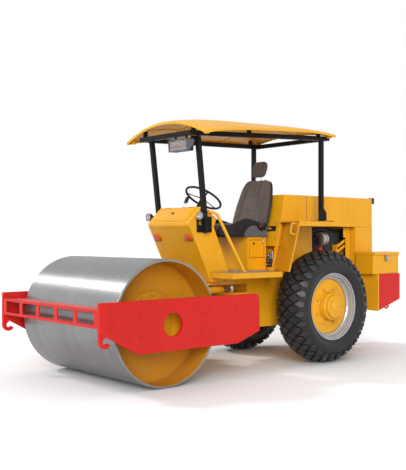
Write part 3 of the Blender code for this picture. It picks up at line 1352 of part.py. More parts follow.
def front_posts():
    """The canopy's front posts, leaning forward, each on a plate on the console's side."""
    for side in (-1, 1):
        name = "front_post_" + side_name(side)
        foot = (side * FRONT_POST_FOOT_X, aft(FRONT_POST_FOOT_S), FRONT_POST_FOOT_Z)
        top = (side * FRONT_POST_TOP_X, aft(FRONT_POST_TOP_S), RAIL_FRONT_Z)
        post = bar(name, foot, top, POST_WIDTH, POST_WIDTH, "black_paint")
        low_z = rail_z(aft(FRONT_POST_TOP_S) - POST_WIDTH) - RAIL_DEPTH / 2 - SEAT
        near, far = sorted((side * (CONSOLE_HALF + SEAT), side * (CONSOLE_HALF + SEAT + POST_PLATE)))
        plate_low = (near, aft(FRONT_POST_FOOT_S) - FRONT_PLATE_HALF_LENGTH, FRONT_PLATE_FOOT)
        plate_top = FRONT_PLATE_FOOT + FRONT_PLATE_HEIGHT
        plate_high = (far, aft(FRONT_POST_FOOT_S) + FRONT_PLATE_HALF_LENGTH, plate_top)
        weld(post, box(name + "_plate", plate_low, plate_high))
        console_side = box(
            name + "_console_cut", (-CONSOLE_HALF - SEAT, aft(LIP_S) - 0.1, FRONT_POST_FOOT_Z - 0.2),
            (CONSOLE_HALF + SEAT, aft(HEEL_S), LIP_TOP + 0.3),
        )
        above = box(name + "_top_cut", (-1, aft(ROOF_FRONT_S), low_z), (1, AXLE_Y, low_z + 0.3))
        cut(post, console_side, above)
        window_low = (side * CONSOLE_HALF - 0.04, aft(FRONT_POST_FOOT_S) - 0.08, FRONT_PLATE_FOOT + 0.075)
        window_high = (side * CONSOLE_HALF + 0.04, aft(FRONT_POST_FOOT_S) - 0.035, FRONT_PLATE_FOOT + 0.12)
        cut(post, box(name + "_window", window_low, window_high))


def rear_posts():
    """The canopy's upright rear posts, each on a gusseted plate on a fender."""
    for side in (-1, 1):
        name = "rear_post_" + side_name(side)
        x, y = side * REAR_POST_X, aft(REAR_POST_S)
        foot = FENDER_TOP + SEAT
        top = rail_z(y - POST_WIDTH / 2) - RAIL_DEPTH / 2 - SEAT
        half = POST_WIDTH / 2
        post = box(name, (x - half, y - half, foot + WELD), (x + half, y + half, top), "black_paint")
        plate_low = (x - REAR_PLATE_HALF, y - REAR_PLATE_HALF_LENGTH, foot)
        plate_high = (x + REAR_PLATE_HALF, y + REAR_PLATE_HALF_LENGTH, foot + POST_PLATE)
        weld(post, box(name + "_plate", plate_low, plate_high))
        plate_top = foot + POST_PLATE - WELD
        shoulder = plate_top + GUSSET_HEIGHT * 0.65
        peak = plate_top + GUSSET_HEIGHT
        gusset = [
            (y - GUSSET_HALF, plate_top), (y + GUSSET_HALF, plate_top), (y + GUSSET_HALF, shoulder),
            (y + half, peak), (y - half, peak), (y - GUSSET_HALF, shoulder),
        ]
        weld(post, side_outline(name + "_gusset", gusset, x + side * half, 0.01))


def rail_share(y):
    """How far along the canopy's side rail a world Y lies, from 0 to 1."""
    return (y - aft(RAIL_FRONT_S)) / (RAIL_REAR_S - RAIL_FRONT_S)


def rail_z(y):
    """The canopy rail's middle height at a world Y."""
    return RAIL_FRONT_Z + rail_share(y) * (RAIL_REAR_Z - RAIL_FRONT_Z)


def rail_x(y):
    """The canopy side rail's distance from the machine's middle at a world Y."""
    return RAIL_FRONT_X + rail_share(y) * (RAIL_REAR_X - RAIL_FRONT_X)


def canopy_rails():
    """The ring of square tube under the roof, rising a little to the rear, with its standoffs."""
    front, rear = aft(RAIL_FRONT_S), aft(RAIL_REAR_S)
    width = RAIL_DEPTH
    reach = RAIL_FRONT_X + width / 2
    ends = (-reach, front, RAIL_FRONT_Z), (reach, front, RAIL_FRONT_Z)
    rails = bar("canopy_rails", ends[0], ends[1], width, width, "black_paint")
    reach = RAIL_REAR_X + width / 2
    ends = (-reach, rear, RAIL_REAR_Z), (reach, rear, RAIL_REAR_Z)
    weld(rails, bar("rear_rail", ends[0], ends[1], width * 0.98, width * 0.98))
    for side in (-1, 1):
        ends = (side * RAIL_FRONT_X, front, RAIL_FRONT_Z), (side * RAIL_REAR_X, rear, RAIL_REAR_Z)
        weld(rails, bar(f"side_rail_{side}", ends[0], ends[1], width * 0.99, width * 0.99))
        for share in (0.02, 0.4, 0.93):
            y = front + share * (rear - front)
            x = side * rail_x(y)
            half = ROOF_STANDOFF
            low = (x - half, y - half, rail_z(y) + width / 2 - WELD)
            weld(rails, box(f"standoff_{side}_{share}", low, (x + half, y + half, roof_z(x, y) + half)))
    space = roof_sheet("roof_space", None)
    skin = space.modifiers.new("room", "SOLIDIFY")
    skin.thickness = 0.2
    skin.offset = 1 - 2 * (ROOF_SKIN + SEAT) / skin.thickness
    return cut(rails, space)


def roof_z(x, y):
    """The roof's upper surface: corners low, edges and middle arched."""
    share = (y - aft(ROOF_FRONT_S)) / (ROOF_REAR_S - ROOF_FRONT_S)
    corner = ROOF_CORNER_FRONT + share * (ROOF_CORNER_REAR - ROOF_CORNER_FRONT)
    across = 1 - (x / ROOF_HALF) ** 2
    along = 1 - (2 * share - 1) ** 4
    return corner + ROOF_ARCH_X * across * (1 - 0.5 * share) + ROOF_ARCH_Y * along


def roof_sheet(name, finish):
    """The roof's upper surface as an open sheet."""
    work = bmesh.new()
    bmesh.ops.create_grid(work, x_segments=ROOF_CELLS_X, y_segments=ROOF_CELLS_Y, size=0.5)
    length = ROOF_REAR_S - ROOF_FRONT_S
    for vert in work.verts:
        x = vert.co.x * 2 * ROOF_HALF
        y = aft(ROOF_FRONT_S) + (vert.co.y + 0.5) * length
        vert.co = (x, y, roof_z(x, y))
    return from_bmesh(name, work, finish, smooth=True)


def canopy_roof():
    """The arched sheet over the operator, with its corners drawn down."""
    roof = roof_sheet("canopy_roof", "yellow_paint")
    skin = roof.modifiers.new("skin", "SOLIDIFY")
    skin.thickness = ROOF_SKIN
    skin.offset = -1
    return roof


def lamps():
    """Headlamps beside the console, indicators on its front, a roof lamp and a rear work lamp."""
    for side in (-1, 1):
        name = side_name(side)
        x = side * HEADLAMP_X
        y = aft(HEADLAMP_S)
        front, back = (x, y, HEADLAMP_Z), (x, y + HEADLAMP_DEPTH, HEADLAMP_Z)
        lamp = rod("head_lamp_" + name, front, back, HEADLAMP_RADIUS, "lamp_black", 24)
        bracket_x = side * (CONSOLE_HALF + 2 * SEAT + POST_PLATE)
        near, far = sorted((bracket_x, x))
        plate_top = FRONT_PLATE_FOOT + FRONT_PLATE_HEIGHT
        low = (near, y + HEADLAMP_DEPTH - 0.025, plate_top - 0.03)
        weld(lamp, box("lamp_bracket_" + name, low, (far, y + HEADLAMP_DEPTH, plate_top - 0.005)))
        z = INDICATOR_Z
        front_top = Vector((0, aft(LIP_S + LIP_SETBACK), LIP_TOP - 2 * LIP_DROP))
        front_foot = Vector((0, aft(FOOT_FRONT_S), CONSOLE_FOOT))
        down = (front_foot - front_top).normalized()
        normal = Vector((0, down.z, -down.y))
        at = front_top + down * ((front_top.z - z) / -down.z)
        half = Vector((INDICATOR_WIDTH, INDICATOR_DEPTH, INDICATOR_HEIGHT)) / 2
        lens = box("indicator_" + name, -half, half, "amber_lens", 0.004)
        lens.location = at + Vector((side * INDICATOR_X, 0, 0)) + normal * (INDICATOR_DEPTH / 2 + SEAT)
        lens.rotation_euler = (math.atan2(down.y, -down.z), 0, 0)


def roof_lamp():
    """The rectangular work lamp that hangs from the front rail on two lugs."""
    y = aft(RAIL_FRONT_S)
    top = RAIL_FRONT_Z - RAIL_DEPTH / 2 - SEAT
    body_top = top - 0.035
    low = (ROOF_LAMP_X - ROOF_LAMP_HALF, y - ROOF_LAMP_DEPTH / 2, body_top - ROOF_LAMP_HEIGHT)
    high = (ROOF_LAMP_X + ROOF_LAMP_HALF, y + ROOF_LAMP_DEPTH / 2, body_top)
    lamp = box("roof_lamp", low, high, "lamp_black", 0.012)
    for side in (-1, 1):
        x = ROOF_LAMP_X + side * ROOF_LAMP_HALF * 0.6
        foot = (x - 0.012, y - 0.012, body_top - WELD)
        weld(lamp, box(f"roof_lamp_lug_{side}", foot, (x + 0.012, y + 0.012, top)))


def rear_lamp():
    """The work lamp on the hood's rear left corner, which lifts with the hood."""
    rear = aft(HOOD_REAR_S)
    size = REAR_LAMP_SIZE
    low_z = BODY_TOP - 0.065
    low = (REAR_LAMP_X - size / 2, rear + 0.02, low_z)
    high = (REAR_LAMP_X + size / 2, rear + 0.02 + size * 0.7, low_z + size)
    lamp = box("rear_lamp", low, high, "lamp_black", 0.006)
    foot = (REAR_LAMP_X - 0.015, rear + SEAT, low_z + 0.02)
    weld(lamp, box("rear_lamp_bracket", foot, (REAR_LAMP_X + 0.015, rear + 0.03, low_z + 0.04)))


parts, cutters = start()
make_materials()
drum()
pivot = pivot_empty("articulation_axis", (0, PIVOT_Y, DRUM_RADIUS))
side_plates(pivot)
front_bumper(pivot)
front_beam(pivot)
drum_carriers(pivot)
steering_cylinders(pivot)
rear_frame()
counterweight()
rear_axle()
rear_wheels()
deck()
console()
console_lid()
steering()
control_levers()
handrails()
seat_box()
seat()
cowl()
valve_block()
fenders()
hood()
radiator_housing()
engine()
toolbox()
front_posts()
rear_posts()
canopy_rails()
canopy_roof()
lamps()
roof_lamp()
rear_lamp()
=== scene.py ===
# %% [markdown]
# # A single drum roller, dressed in Blender
# The CAD model gives every solid its size and its place. This notebook loads it as a fixed frame and
# builds the looks round it: finer copies of the solids, the small things that a CAD model leaves out,
# and procedural finishes. Everything is in metres. The machine drives towards -Y, +X is its left side.

# %% Load the frame
import bpy
import bmesh
import math
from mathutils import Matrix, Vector
from mathutils.bvhtree import BVHTree


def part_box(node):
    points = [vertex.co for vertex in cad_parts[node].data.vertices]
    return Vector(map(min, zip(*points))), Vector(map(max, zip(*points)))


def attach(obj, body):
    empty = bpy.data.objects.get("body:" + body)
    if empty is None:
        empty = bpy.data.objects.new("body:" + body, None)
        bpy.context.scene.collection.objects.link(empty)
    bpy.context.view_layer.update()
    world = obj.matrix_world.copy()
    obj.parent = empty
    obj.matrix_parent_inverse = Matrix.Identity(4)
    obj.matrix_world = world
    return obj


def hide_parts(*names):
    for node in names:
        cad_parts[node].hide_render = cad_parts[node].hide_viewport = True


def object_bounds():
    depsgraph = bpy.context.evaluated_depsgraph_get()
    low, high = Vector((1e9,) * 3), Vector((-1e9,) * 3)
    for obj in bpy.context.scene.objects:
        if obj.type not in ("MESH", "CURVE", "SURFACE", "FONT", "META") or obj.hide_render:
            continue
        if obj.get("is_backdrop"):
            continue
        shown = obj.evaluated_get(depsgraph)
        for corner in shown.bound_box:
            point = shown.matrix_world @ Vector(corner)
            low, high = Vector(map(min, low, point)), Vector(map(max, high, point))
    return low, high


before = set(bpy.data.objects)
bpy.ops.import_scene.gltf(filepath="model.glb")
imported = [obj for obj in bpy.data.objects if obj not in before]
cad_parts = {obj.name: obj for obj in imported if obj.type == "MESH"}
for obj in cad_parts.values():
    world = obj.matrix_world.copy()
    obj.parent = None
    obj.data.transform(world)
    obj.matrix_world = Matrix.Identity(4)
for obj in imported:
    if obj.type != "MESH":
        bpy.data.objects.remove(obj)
cad_low, cad_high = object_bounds()
scene = bpy.context.scene
print("nodes:", len(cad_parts), "size:", [round(side, 3) for side in cad_high - cad_low])

# %% [markdown]
# ## Camera, floor and light
# The photograph was taken at chest height, from the machine's left front, with a longish lens. A pale
# floor and a white world stand in for the studio. The world looks white to the camera and in
# reflections, but lights the machine at a lower level, so that a paint renders about as it is written.
# Three suns follow: a broad key from the machine's left, a gentle fill from the front, and a narrow
# one from its right, which draws the bright band along the drum.

# %% Camera
lens = bpy.data.cameras.new("camera")
lens.sensor_width = 36.0
lens.lens = 61.3
lens.shift_y = 0.0053
camera = bpy.data.objects.new("camera", lens)
camera.location = (6.80, -6.0925, 1.42)
camera.rotation_euler = (math.pi / 2, 0.0, math.radians(49.8))
scene.collection.objects.link(camera)
scene.camera = camera
scene.view_settings.view_transform = "Standard"


# %% Node helpers
def new_material(name):
    """An empty node material, its tree and its Principled shader, wired to the output."""
    made = bpy.data.materials.new(name)
    made.use_nodes = True
    tree = made.node_tree
    return made, tree, tree.nodes["Principled BSDF"]


def node(tree, kind, settings=None, **inputs):
    """Adds a node, sets its properties, and sets or links its inputs by name."""
    made = tree.nodes.new("ShaderNode" + kind)
    for name, value in (settings or {}).items():
        setattr(made, name, value)
    for name, value in inputs.items():
        socket = made.inputs[int(name[1:])] if name[0] == "i" and name[1:].isdigit() else made.inputs[name]
        if isinstance(value, bpy.types.NodeSocket):
            tree.links.new(value, socket)
        else:
            socket.default_value = value
    return made


def sees_backdrop(tree):
    """1 for camera, glossy and transmission rays, which see the white studio."""
    rays = node(tree, "LightPath")
    first = node(tree, "Math", {"operation": "MAXIMUM"}, i0=rays.outputs["Is Camera Ray"],
                 i1=rays.outputs["Is Glossy Ray"])
    return node(tree, "Math", {"operation": "MAXIMUM"}, i0=first.outputs[0],
                i1=rays.outputs["Is Transmission Ray"]).outputs[0]


# %% World, floor and lamps
AMBIENT = 0.29
SHADOW_REACH = 1.1  # how far round the machine the floor is darker
world = bpy.data.worlds.new("studio")
scene.world = world
world.use_nodes = True
tree = world.node_tree
tree.nodes.clear()
light = node(tree, "Background", Color=(0.97, 0.98, 1.0, 1), Strength=AMBIENT)
white = node(tree, "Background", Color=(1, 1, 1, 1), Strength=1.0)
pick = node(tree, "MixShader", i0=sees_backdrop(tree), i1=light.outputs[0], i2=white.outputs[0])
node(tree, "OutputWorld", Surface=pick.outputs[0])

FLOOR = 60  # half its side, in metres
floor_mesh = bpy.data.meshes.new("floor")
floor_mesh.from_pydata([(-FLOOR, -FLOOR, 0), (FLOOR, -FLOOR, 0), (FLOOR, FLOOR, 0), (-FLOOR, FLOOR, 0)],
                       [], [(0, 1, 2, 3)])
floor = bpy.data.objects.new("floor", floor_mesh)
scene.collection.objects.link(floor)
floor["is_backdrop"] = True
floor_paint, tree, shader = new_material("floor")
tree.nodes.remove(shader)
matt = node(tree, "BsdfDiffuse", Color=(0.93, 0.93, 0.93, 1))
# Painted shadow: the glow that whitens the floor for the camera fades where the occlusion node finds the machine
# near, so the floor darkens round it.
open_sky = node(tree, "AmbientOcclusion", {"samples": 12}, Distance=SHADOW_REACH).outputs["AO"]
lift = node(tree, "MapRange", i0=open_sky, i1=0.35, i2=0.98, i3=0.0, i4=0.36)
glow = node(tree, "Emission", Color=(1, 1, 1, 1), Strength=lift.outputs[0])
both = node(tree, "AddShader", i0=matt.outputs[0], i1=glow.outputs[0])
pick = node(tree, "MixShader", i0=sees_backdrop(tree), i1=matt.outputs[0], i2=both.outputs[0])
tree.links.new(pick.outputs[0], tree.nodes["Material Output"].inputs["Surface"])
floor_mesh.materials.append(floor_paint)

SUNS = (  # name, the way towards it, strength, spread in degrees
    ("key", (0.74, -0.60, 0.34), 2.45, 38),
    ("fill", (-0.25, -0.9, 0.45), 0.25, 80),
    ("top", (-0.66, -0.40, 0.64), 1.10, 8),
)
for name, towards, strength, spread in SUNS:
    sun = bpy.data.lights.new(name, "SUN")
    sun.energy = strength
    sun.angle = math.radians(spread)
    lamp = bpy.data.objects.new(name, sun)
    lamp.rotation_mode = "QUATERNION"
    lamp.rotation_quaternion = Vector(towards).to_track_quat("Z", "Y")
    scene.collection.objects.link(lamp)
print("camera at", tuple(camera.location), "ambient", AMBIENT)

# %% [markdown]
# ## Finishes
# Each finish is a node material with the detail of the real one: a slow drift of colour, dust that
# gathers low down, painted shade in corners, a faint orange peel or grain in the bump, and a roughness
# that changes from place to place. Object coordinates are metres here, so every scale is a real size. A
# corner is found with an ambient occlusion node, which works on any mesh and needs no texture painting.


# %% Paints
def mixed(tree, share, first, second):
    """A colour mix by a share, each end a colour or a socket."""
    made = node(tree, "Mix", {"data_type": "RGBA"})
    for index, value in ((0, share), (6, first), (7, second)):
        if isinstance(value, bpy.types.NodeSocket):
            tree.links.new(value, made.inputs[index])
        else:
            made.inputs[index].default_value = value
    return made.outputs[2]


def noise(tree, coords, scale, detail=3.0, stretch=None):
    """A noise field at a scale per metre, stretched by a vector when given."""
    if stretch:
        coords = node(tree, "Mapping", Vector=coords, Scale=stretch).outputs[0]
    return node(tree, "TexNoise", Vector=coords, Scale=scale, Detail=detail, Roughness=0.6).outputs["Fac"]


def between(tree, value, low, high, start=0.0, end=1.0):
    """Maps a value from low..high to start..end, held at both ends."""
    made = node(tree, "MapRange", i1=low, i2=high, i3=start, i4=end)
    tree.links.new(value, made.inputs[0])
    return made.outputs[0]


def times(tree, first, second):
    """The product of two values."""
    return node(tree, "Math", {"operation": "MULTIPLY"}, i0=first, i1=second).outputs[0]


def put(tree, shader, **inputs):
    """Sets or links a shader's inputs. Their names have underscores for spaces."""
    for name, value in inputs.items():
        socket = shader.inputs[name.replace("_", " ")]
        if isinstance(value, bpy.types.NodeSocket):
            tree.links.new(value, socket)
        else:
            socket.default_value = value


def bump(tree, shader, height, strength, distance):
    """Presses a height field into the shader's normal."""
    made = node(tree, "Bump", Strength=strength, Distance=distance, Height=height)
    tree.links.new(made.outputs[0], shader.inputs["Normal"])


def shade(colour, factor):
    """A colour made darker or lighter, with its alpha."""
    return (colour[0] * factor, colour[1] * factor, colour[2] * factor, 1.0)


CORNER_SHADE_COLOUR = (0.105, 0.070, 0.040, 1.0)
DUST = (0.30, 0.225, 0.15, 1.0)
RUBBER_DUST = (0.115, 0.108, 0.105, 1.0)


def paint(name, colour, low=0.30, high=0.46, dust=0.12, corner=0.55, gloss=0.32, coat=0.06):
    """Sprayed paint with painted shade in its corners, dust low down and runs of dirt on its sides."""
    made, tree, shader = new_material(name)
    place = node(tree, "TexCoord").outputs["Object"]
    drift = between(tree, noise(tree, place, 1.6, 4), 0.35, 0.65)
    skin = mixed(tree, drift, shade(colour, 0.94), shade(colour, 1.04))
    runs = between(tree, noise(tree, place, 9, 4, (1, 1, 0.12)), 0.52, 0.74, 0.0, 0.22)
    skin = mixed(tree, runs, skin, shade(colour, 0.72))
    height = node(tree, "SeparateXYZ", Vector=place).outputs["Z"]
    speck = between(tree, noise(tree, place, 24, 6), 0.38, 0.66)
    settled = times(tree, between(tree, height, 0.1, 1.3, dust, 0.02), speck)
    skin = mixed(tree, settled, skin, DUST)
    # Painted shade: where the occlusion node finds nearby geometry, the colour is darkened towards a dark brown.
    shade_occlusion = node(tree, "AmbientOcclusion", {"samples": 8}, Distance=0.05).outputs["AO"]
    skin = mixed(tree, between(tree, shade_occlusion, 0.75, 0.25, 0.0, corner), skin, shade(CORNER_SHADE_COLOUR, 1.0))
    put(tree, shader, Base_Color=skin, Roughness=between(tree, speck, 0.0, 1.0, low, high),
        Specular_IOR_Level=gloss, Coat_Weight=coat, Coat_Roughness=0.12)
    bump(tree, shader, noise(tree, place, 120, 2), 0.12, 0.0006)
    return made


finishes = {
    "yellow": paint("yellow_machine_paint", (0.87, 0.405, 0.007)),
    "yellow_inside": paint("yellow_inside_drum", (0.62, 0.26, 0.006), 0.42, 0.6, 0.30, 0.7, 0.2, 0.0),
    "yellow_cover": paint("yellow_canopy_paint", (0.90, 0.46, 0.030), 0.40, 0.55, 0.10, 0.25),
    "red": paint("red_frame_paint", (0.66, 0.009, 0.006), 0.32, 0.46, 0.08, 0.45, 0.25),
    "black": paint("black_post_paint", (0.007, 0.007, 0.0075), 0.42, 0.58, 0.05, 0.2, 0.14, 0.0),
    "plastic": paint("black_moulded_plastic", (0.014, 0.014, 0.016), 0.45, 0.62, 0.05, 0.2, 0.22, 0.0),
    "vinyl": paint("black_seat_vinyl", (0.012, 0.012, 0.015), 0.38, 0.52, 0.03, 0.2, 0.3, 0.0),
    "cover_grey": paint("grey_seat_plastic", (0.105, 0.112, 0.130), 0.42, 0.56, 0.06, 0.3),
    "silver": paint("silver_rim_paint", (0.50, 0.50, 0.51), 0.28, 0.44, 0.16, 0.5),
    "cast": paint("dark_casting", (0.050, 0.050, 0.052), 0.5, 0.7, 0.25, 0.5),
    "filter_red": paint("red_filter_paint", (0.72, 0.03, 0.05), 0.25, 0.35, 0.05, 0.3),
}
for name in ("silver", "cast"):
    finishes[name].node_tree.nodes["Principled BSDF"].inputs["Metallic"].default_value = 0.35
print("paints:", len(finishes))

# %% [markdown]
# ## Steel, rubber, cloth, plates and lenses
# The drum is bare steel, polished in rings by the ground it rolls on. The rings come from noise that
# is squeezed along the axle and nearly smooth round it, and its shine is stretched along the drum. The
# tyre is black rubber, and its worn lug tops hold grey dust. Seat cloth is a fine over-and-under weave
# made from two crossed waves.


# %% Other finishes
def drum_steel():
    """Bare rolled steel with rings of polish, a little rust bloom, and fine scratches round it."""
    made, tree, shader = new_material("drum_bare_steel")
    place = node(tree, "TexCoord").outputs["Object"]
    bands = between(tree, noise(tree, place, 1.0, 5, (26, 1.1, 1.1)), 0.32, 0.68)
    cloud = between(tree, noise(tree, place, 3.2, 5), 0.35, 0.7)
    skin = mixed(tree, bands, (0.27, 0.27, 0.278, 1), (0.31, 0.31, 0.317, 1))
    skin = mixed(tree, times(tree, cloud, 0.30), skin, (0.21, 0.205, 0.20, 1))
    bloom = between(tree, noise(tree, place, 14, 6, (1, 0.5, 0.5)), 0.60, 0.80, 0.0, 0.35)
    skin = mixed(tree, bloom, skin, (0.20, 0.16, 0.12, 1))
    round_axle = node(tree, "Tangent", {"direction_type": "RADIAL", "axis": "X"}).outputs[0]
    put(tree, shader, Base_Color=skin, Metallic=1.0, Roughness=between(tree, bands, 0.0, 1.0, 0.38, 0.31),
        Anisotropic=0.75, Anisotropic_Rotation=0.25, Tangent=round_axle)
    bump(tree, shader, noise(tree, place, 1.0, 3, (420, 3, 3)), 0.12, 0.0005)
    return made


def metal(name, colour, rough, grain=90):
    """A machined or plated metal."""
    made, tree, shader = new_material(name)
    place = node(tree, "TexCoord").outputs["Object"]
    speck = between(tree, noise(tree, place, grain, 4), 0.3, 0.7)
    put(tree, shader, Base_Color=mixed(tree, speck, shade(colour, 0.8), shade(colour, 1.05)),
        Roughness=between(tree, speck, 0.0, 1.0, rough - 0.06, rough + 0.08), Metallic=1.0)
    bump(tree, shader, noise(tree, place, grain * 3, 2), 0.1, 0.0004)
    return made


def rubber(name, colour, dusty):
    """Tyre or hose rubber, with dust rubbed into it."""
    made, tree, shader = new_material(name)
    place = node(tree, "TexCoord").outputs["Object"]
    speck = between(tree, noise(tree, place, 30, 6), 0.35, 0.7, 0.0, dusty)
    put(tree, shader, Base_Color=mixed(tree, speck, (*colour, 1), RUBBER_DUST),
        Roughness=between(tree, noise(tree, place, 8, 3), 0.3, 0.7, 0.36, 0.54), Specular_IOR_Level=0.4)
    bump(tree, shader, noise(tree, place, 160, 3), 0.25, 0.001)
    return made


def woven(name, dark, pale, pitch):
    """Cloth with an over-and-under weave, a soft sheen and faded patches."""
    made, tree, shader = new_material(name)
    place = node(tree, "TexCoord").outputs["Object"]
    waves = []
    for axis, turn in (("X", (0, 0, 0.6)), ("Z", (0.35, 0, 0))):
        turned_place = node(tree, "Mapping", Vector=place, Rotation=turn).outputs[0]
        wave = node(tree, "TexWave", {"bands_direction": axis}, Vector=turned_place,
                    Scale=1 / (pitch * 3.2), Distortion=0.6, Detail=1.0)
        waves.append(wave.outputs["Fac"])
    weave = node(tree, "Math", {"operation": "MAXIMUM"}, i0=waves[0], i1=waves[1]).outputs[0]
    fade = between(tree, noise(tree, place, 5, 4), 0.35, 0.65)
    skin = mixed(tree, weave, (*dark, 1), (*pale, 1))
    skin = mixed(tree, times(tree, fade, 0.35), skin, shade(pale, 1.25))
    put(tree, shader, Base_Color=skin, Roughness=0.92, Sheen_Weight=0.25, Sheen_Roughness=0.5)
    bump(tree, shader, weave, 0.5, 0.0012)
    return made


def tread_plate():
    """Worn grey floor plate: bare in the walked places, with painted shade between the lozenges."""
    made, tree, shader = new_material("floor_tread_plate")
    place = node(tree, "TexCoord").outputs["Object"]
    speck = between(tree, noise(tree, place, 16, 6), 0.35, 0.68)
    skin = mixed(tree, speck, (0.24, 0.22, 0.20, 1), (0.46, 0.38, 0.28, 1))
    # Painted shade: the occlusion node darkens the plate round and between the lozenges.
    shade_occlusion = node(tree, "AmbientOcclusion", {"samples": 8}, Distance=0.02).outputs["AO"]
    skin = mixed(tree, between(tree, shade_occlusion, 0.8, 0.3, 0.0, 0.6), skin, shade(CORNER_SHADE_COLOUR, 1.2))
    put(tree, shader, Base_Color=skin, Metallic=0.4, Roughness=between(tree, speck, 0.0, 1.0, 0.34, 0.6))
    return made


def lens_material(name, colour, clear):
    """A moulded lens with fine flutes, its colour darker and lighter in bands along them as painted shade and
    highlight.
    """
    made, tree, shader = new_material(name)
    place = node(tree, "TexCoord").outputs["Object"]
    flutes = node(tree, "TexWave", {"bands_direction": "X"}, Vector=place, Scale=45.0).outputs["Fac"]
    # Painted shade and highlight: the base colour follows the flutes in darker and lighter bands.
    put(tree, shader, Base_Color=mixed(tree, flutes, shade(colour, 0.85), shade(colour, 1.08)),
        Roughness=0.12, Transmission_Weight=clear)
    bump(tree, shader, flutes, 0.35, 0.0015)
    return made


finishes["drum"] = drum_steel()
finishes["steel"] = metal("bright_steel", (0.42, 0.42, 0.43), 0.30)
finishes["brass"] = metal("plated_fittings", (0.58, 0.47, 0.26), 0.35)
finishes["alloy"] = metal("cast_alloy", (0.46, 0.46, 0.47), 0.45, 60)
finishes["rubber"] = rubber("tyre_side_rubber", (0.008, 0.008, 0.009), 0.06)
finishes["lug_top"] = rubber("tyre_worn_lugs", (0.016, 0.0155, 0.016), 0.20)
finishes["hose"] = rubber("black_hose", (0.013, 0.013, 0.014), 0.10)
finishes["cloth"] = woven("seat_weave", (0.040, 0.032, 0.028), (0.105, 0.080, 0.067), 0.004)
finishes["piping"] = woven("seat_piping", (0.012, 0.011, 0.011), (0.030, 0.027, 0.025), 0.003)
finishes["tread"] = tread_plate()
finishes["amber"] = lens_material("amber_lens_plastic", (0.86, 0.13, 0.012), 0.25)
finishes["clear"] = lens_material("clear_lens_glass", (0.85, 0.87, 0.88), 0.7)
finishes["lamp"] = finishes["plastic"]
print("finishes:", len(finishes))

# %% [markdown]
# ## Building blocks
# Small helpers put simple forms into one bmesh, so that all the bolts of a plate, or all the parts of
# a lamp, make one piece. A piece gets its finish and its body, and hides the CAD nodes it stands for, in one
# call. `softened` takes the mesh of a CAD solid, merges the triangles of each flat face and rounds the
# edges, which is what makes folded and welded plate catch the light.


# %% Settling a piece
def settle(made, body, finish, *replaced):
    """Gives a piece its finish, its body and the nodes it stands for."""
    if finish:
        made.data.materials.append(finishes[finish])
    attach(made, body)
    if replaced:
        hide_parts(*replaced)
    return made


def piece(name, work, body, finish, *replaced, crease=32, extra=()):
    """Makes an object from a bmesh and settles it."""
    mesh = bpy.data.meshes.new(name)
    bmesh.ops.recalc_face_normals(work, faces=work.faces)
    work.to_mesh(mesh)
    work.free()
    mesh.shade_smooth()
    mesh.set_sharp_from_angle(angle=math.radians(crease))
    made = bpy.data.objects.new(name, mesh)
    scene.collection.objects.link(made)
    settle(made, body, finish, *replaced)
    for other in extra:
        mesh.materials.append(finishes[other])
    return made


def rounded(made, width, segments=2, angle=30):
    """Rounds a piece's edges with a bevel whose faces shade flat."""
    edge = made.modifiers.new("rounded_edges", "BEVEL")
    edge.width = width
    edge.segments = segments
    edge.limit_method = "ANGLE"
    edge.angle_limit = math.radians(angle)
    edge.harden_normals = True
    return made


def softened(node_name, body, finish, width=0.004, segments=2):
    """A copy of a CAD solid with whole flat faces and rounded edges, in place of the node."""
    work = bmesh.new()
    work.from_mesh(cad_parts[node_name].data)
    bmesh.ops.remove_doubles(work, verts=work.verts, dist=2e-5)
    bmesh.ops.dissolve_limit(work, angle_limit=math.radians(0.7), verts=work.verts, edges=work.edges)
    made = piece(node_name + "_dressed", work, body, finish, node_name)
    return rounded(made, width, segments)


# %% Forms for a bmesh
def add_box(work, low, high):
    """A box between two corners."""
    low, high = Vector(low), Vector(high)
    for vert in bmesh.ops.create_cube(work, size=1.0)["verts"]:
        vert.co = Vector((low[i] + (vert.co[i] + 0.5) * (high[i] - low[i]) for i in range(3)))


def around(count, start=0.0, first=1, second=2):
    """Unit vectors set evenly round an axis, in the plane of two others. The X axis is the usual one."""
    for turn in range(count):
        angle = 2 * math.pi * (turn + start) / count
        way = Vector((0, 0, 0))
        way[first], way[second] = math.cos(angle), math.sin(angle)
        yield way


def squared(value, power):
    """A sine or cosine raised to a power with its sign kept, which squares or pinches a circle."""
    return math.copysign(abs(value) ** power, value)


def join_rings(work, rings, closed=False, ends=False):
    """Faces between rings of equal count, back to the first when closed, with end faces when asked."""
    pairs = list(zip(rings, rings[1:])) + ([(rings[-1], rings[0])] if closed else [])
    for first, second in pairs:
        for k in range(len(first)):
            after = (k + 1) % len(first)
            work.faces.new((first[k], first[after], second[after], second[k]))
    if ends:
        work.faces.new(rings[0])
        work.faces.new(rings[-1])


def add_turned(work, profile, at, axis, steps=48, closed=False):
    """A profile of (distance along the axis, radius) points, turned about an axis through a point."""
    at = Vector(at)
    turn = Vector(axis).to_track_quat("Z", "Y")
    rings = []
    for along, radius in profile:
        if radius < 1e-6:
            rings.append([work.verts.new(at + turn @ Vector((0, 0, along)))])
            continue
        angles = [2 * math.pi * k / steps for k in range(steps)]
        rings.append([
            work.verts.new(at + turn @ Vector((radius * math.cos(a), radius * math.sin(a), along)))
            for a in angles
        ])
    pairs = list(zip(rings, rings[1:]))
    if closed:
        pairs.append((rings[-1], rings[0]))
    for first, second in pairs:
        for k in range(steps):
            after = (k + 1) % steps
            if len(first) == 1:
                work.faces.new((first[0], second[k], second[after]))
            elif len(second) == 1:
                work.faces.new((first[k], first[after], second[0]))
            else:
                work.faces.new((first[k], first[after], second[after], second[k]))


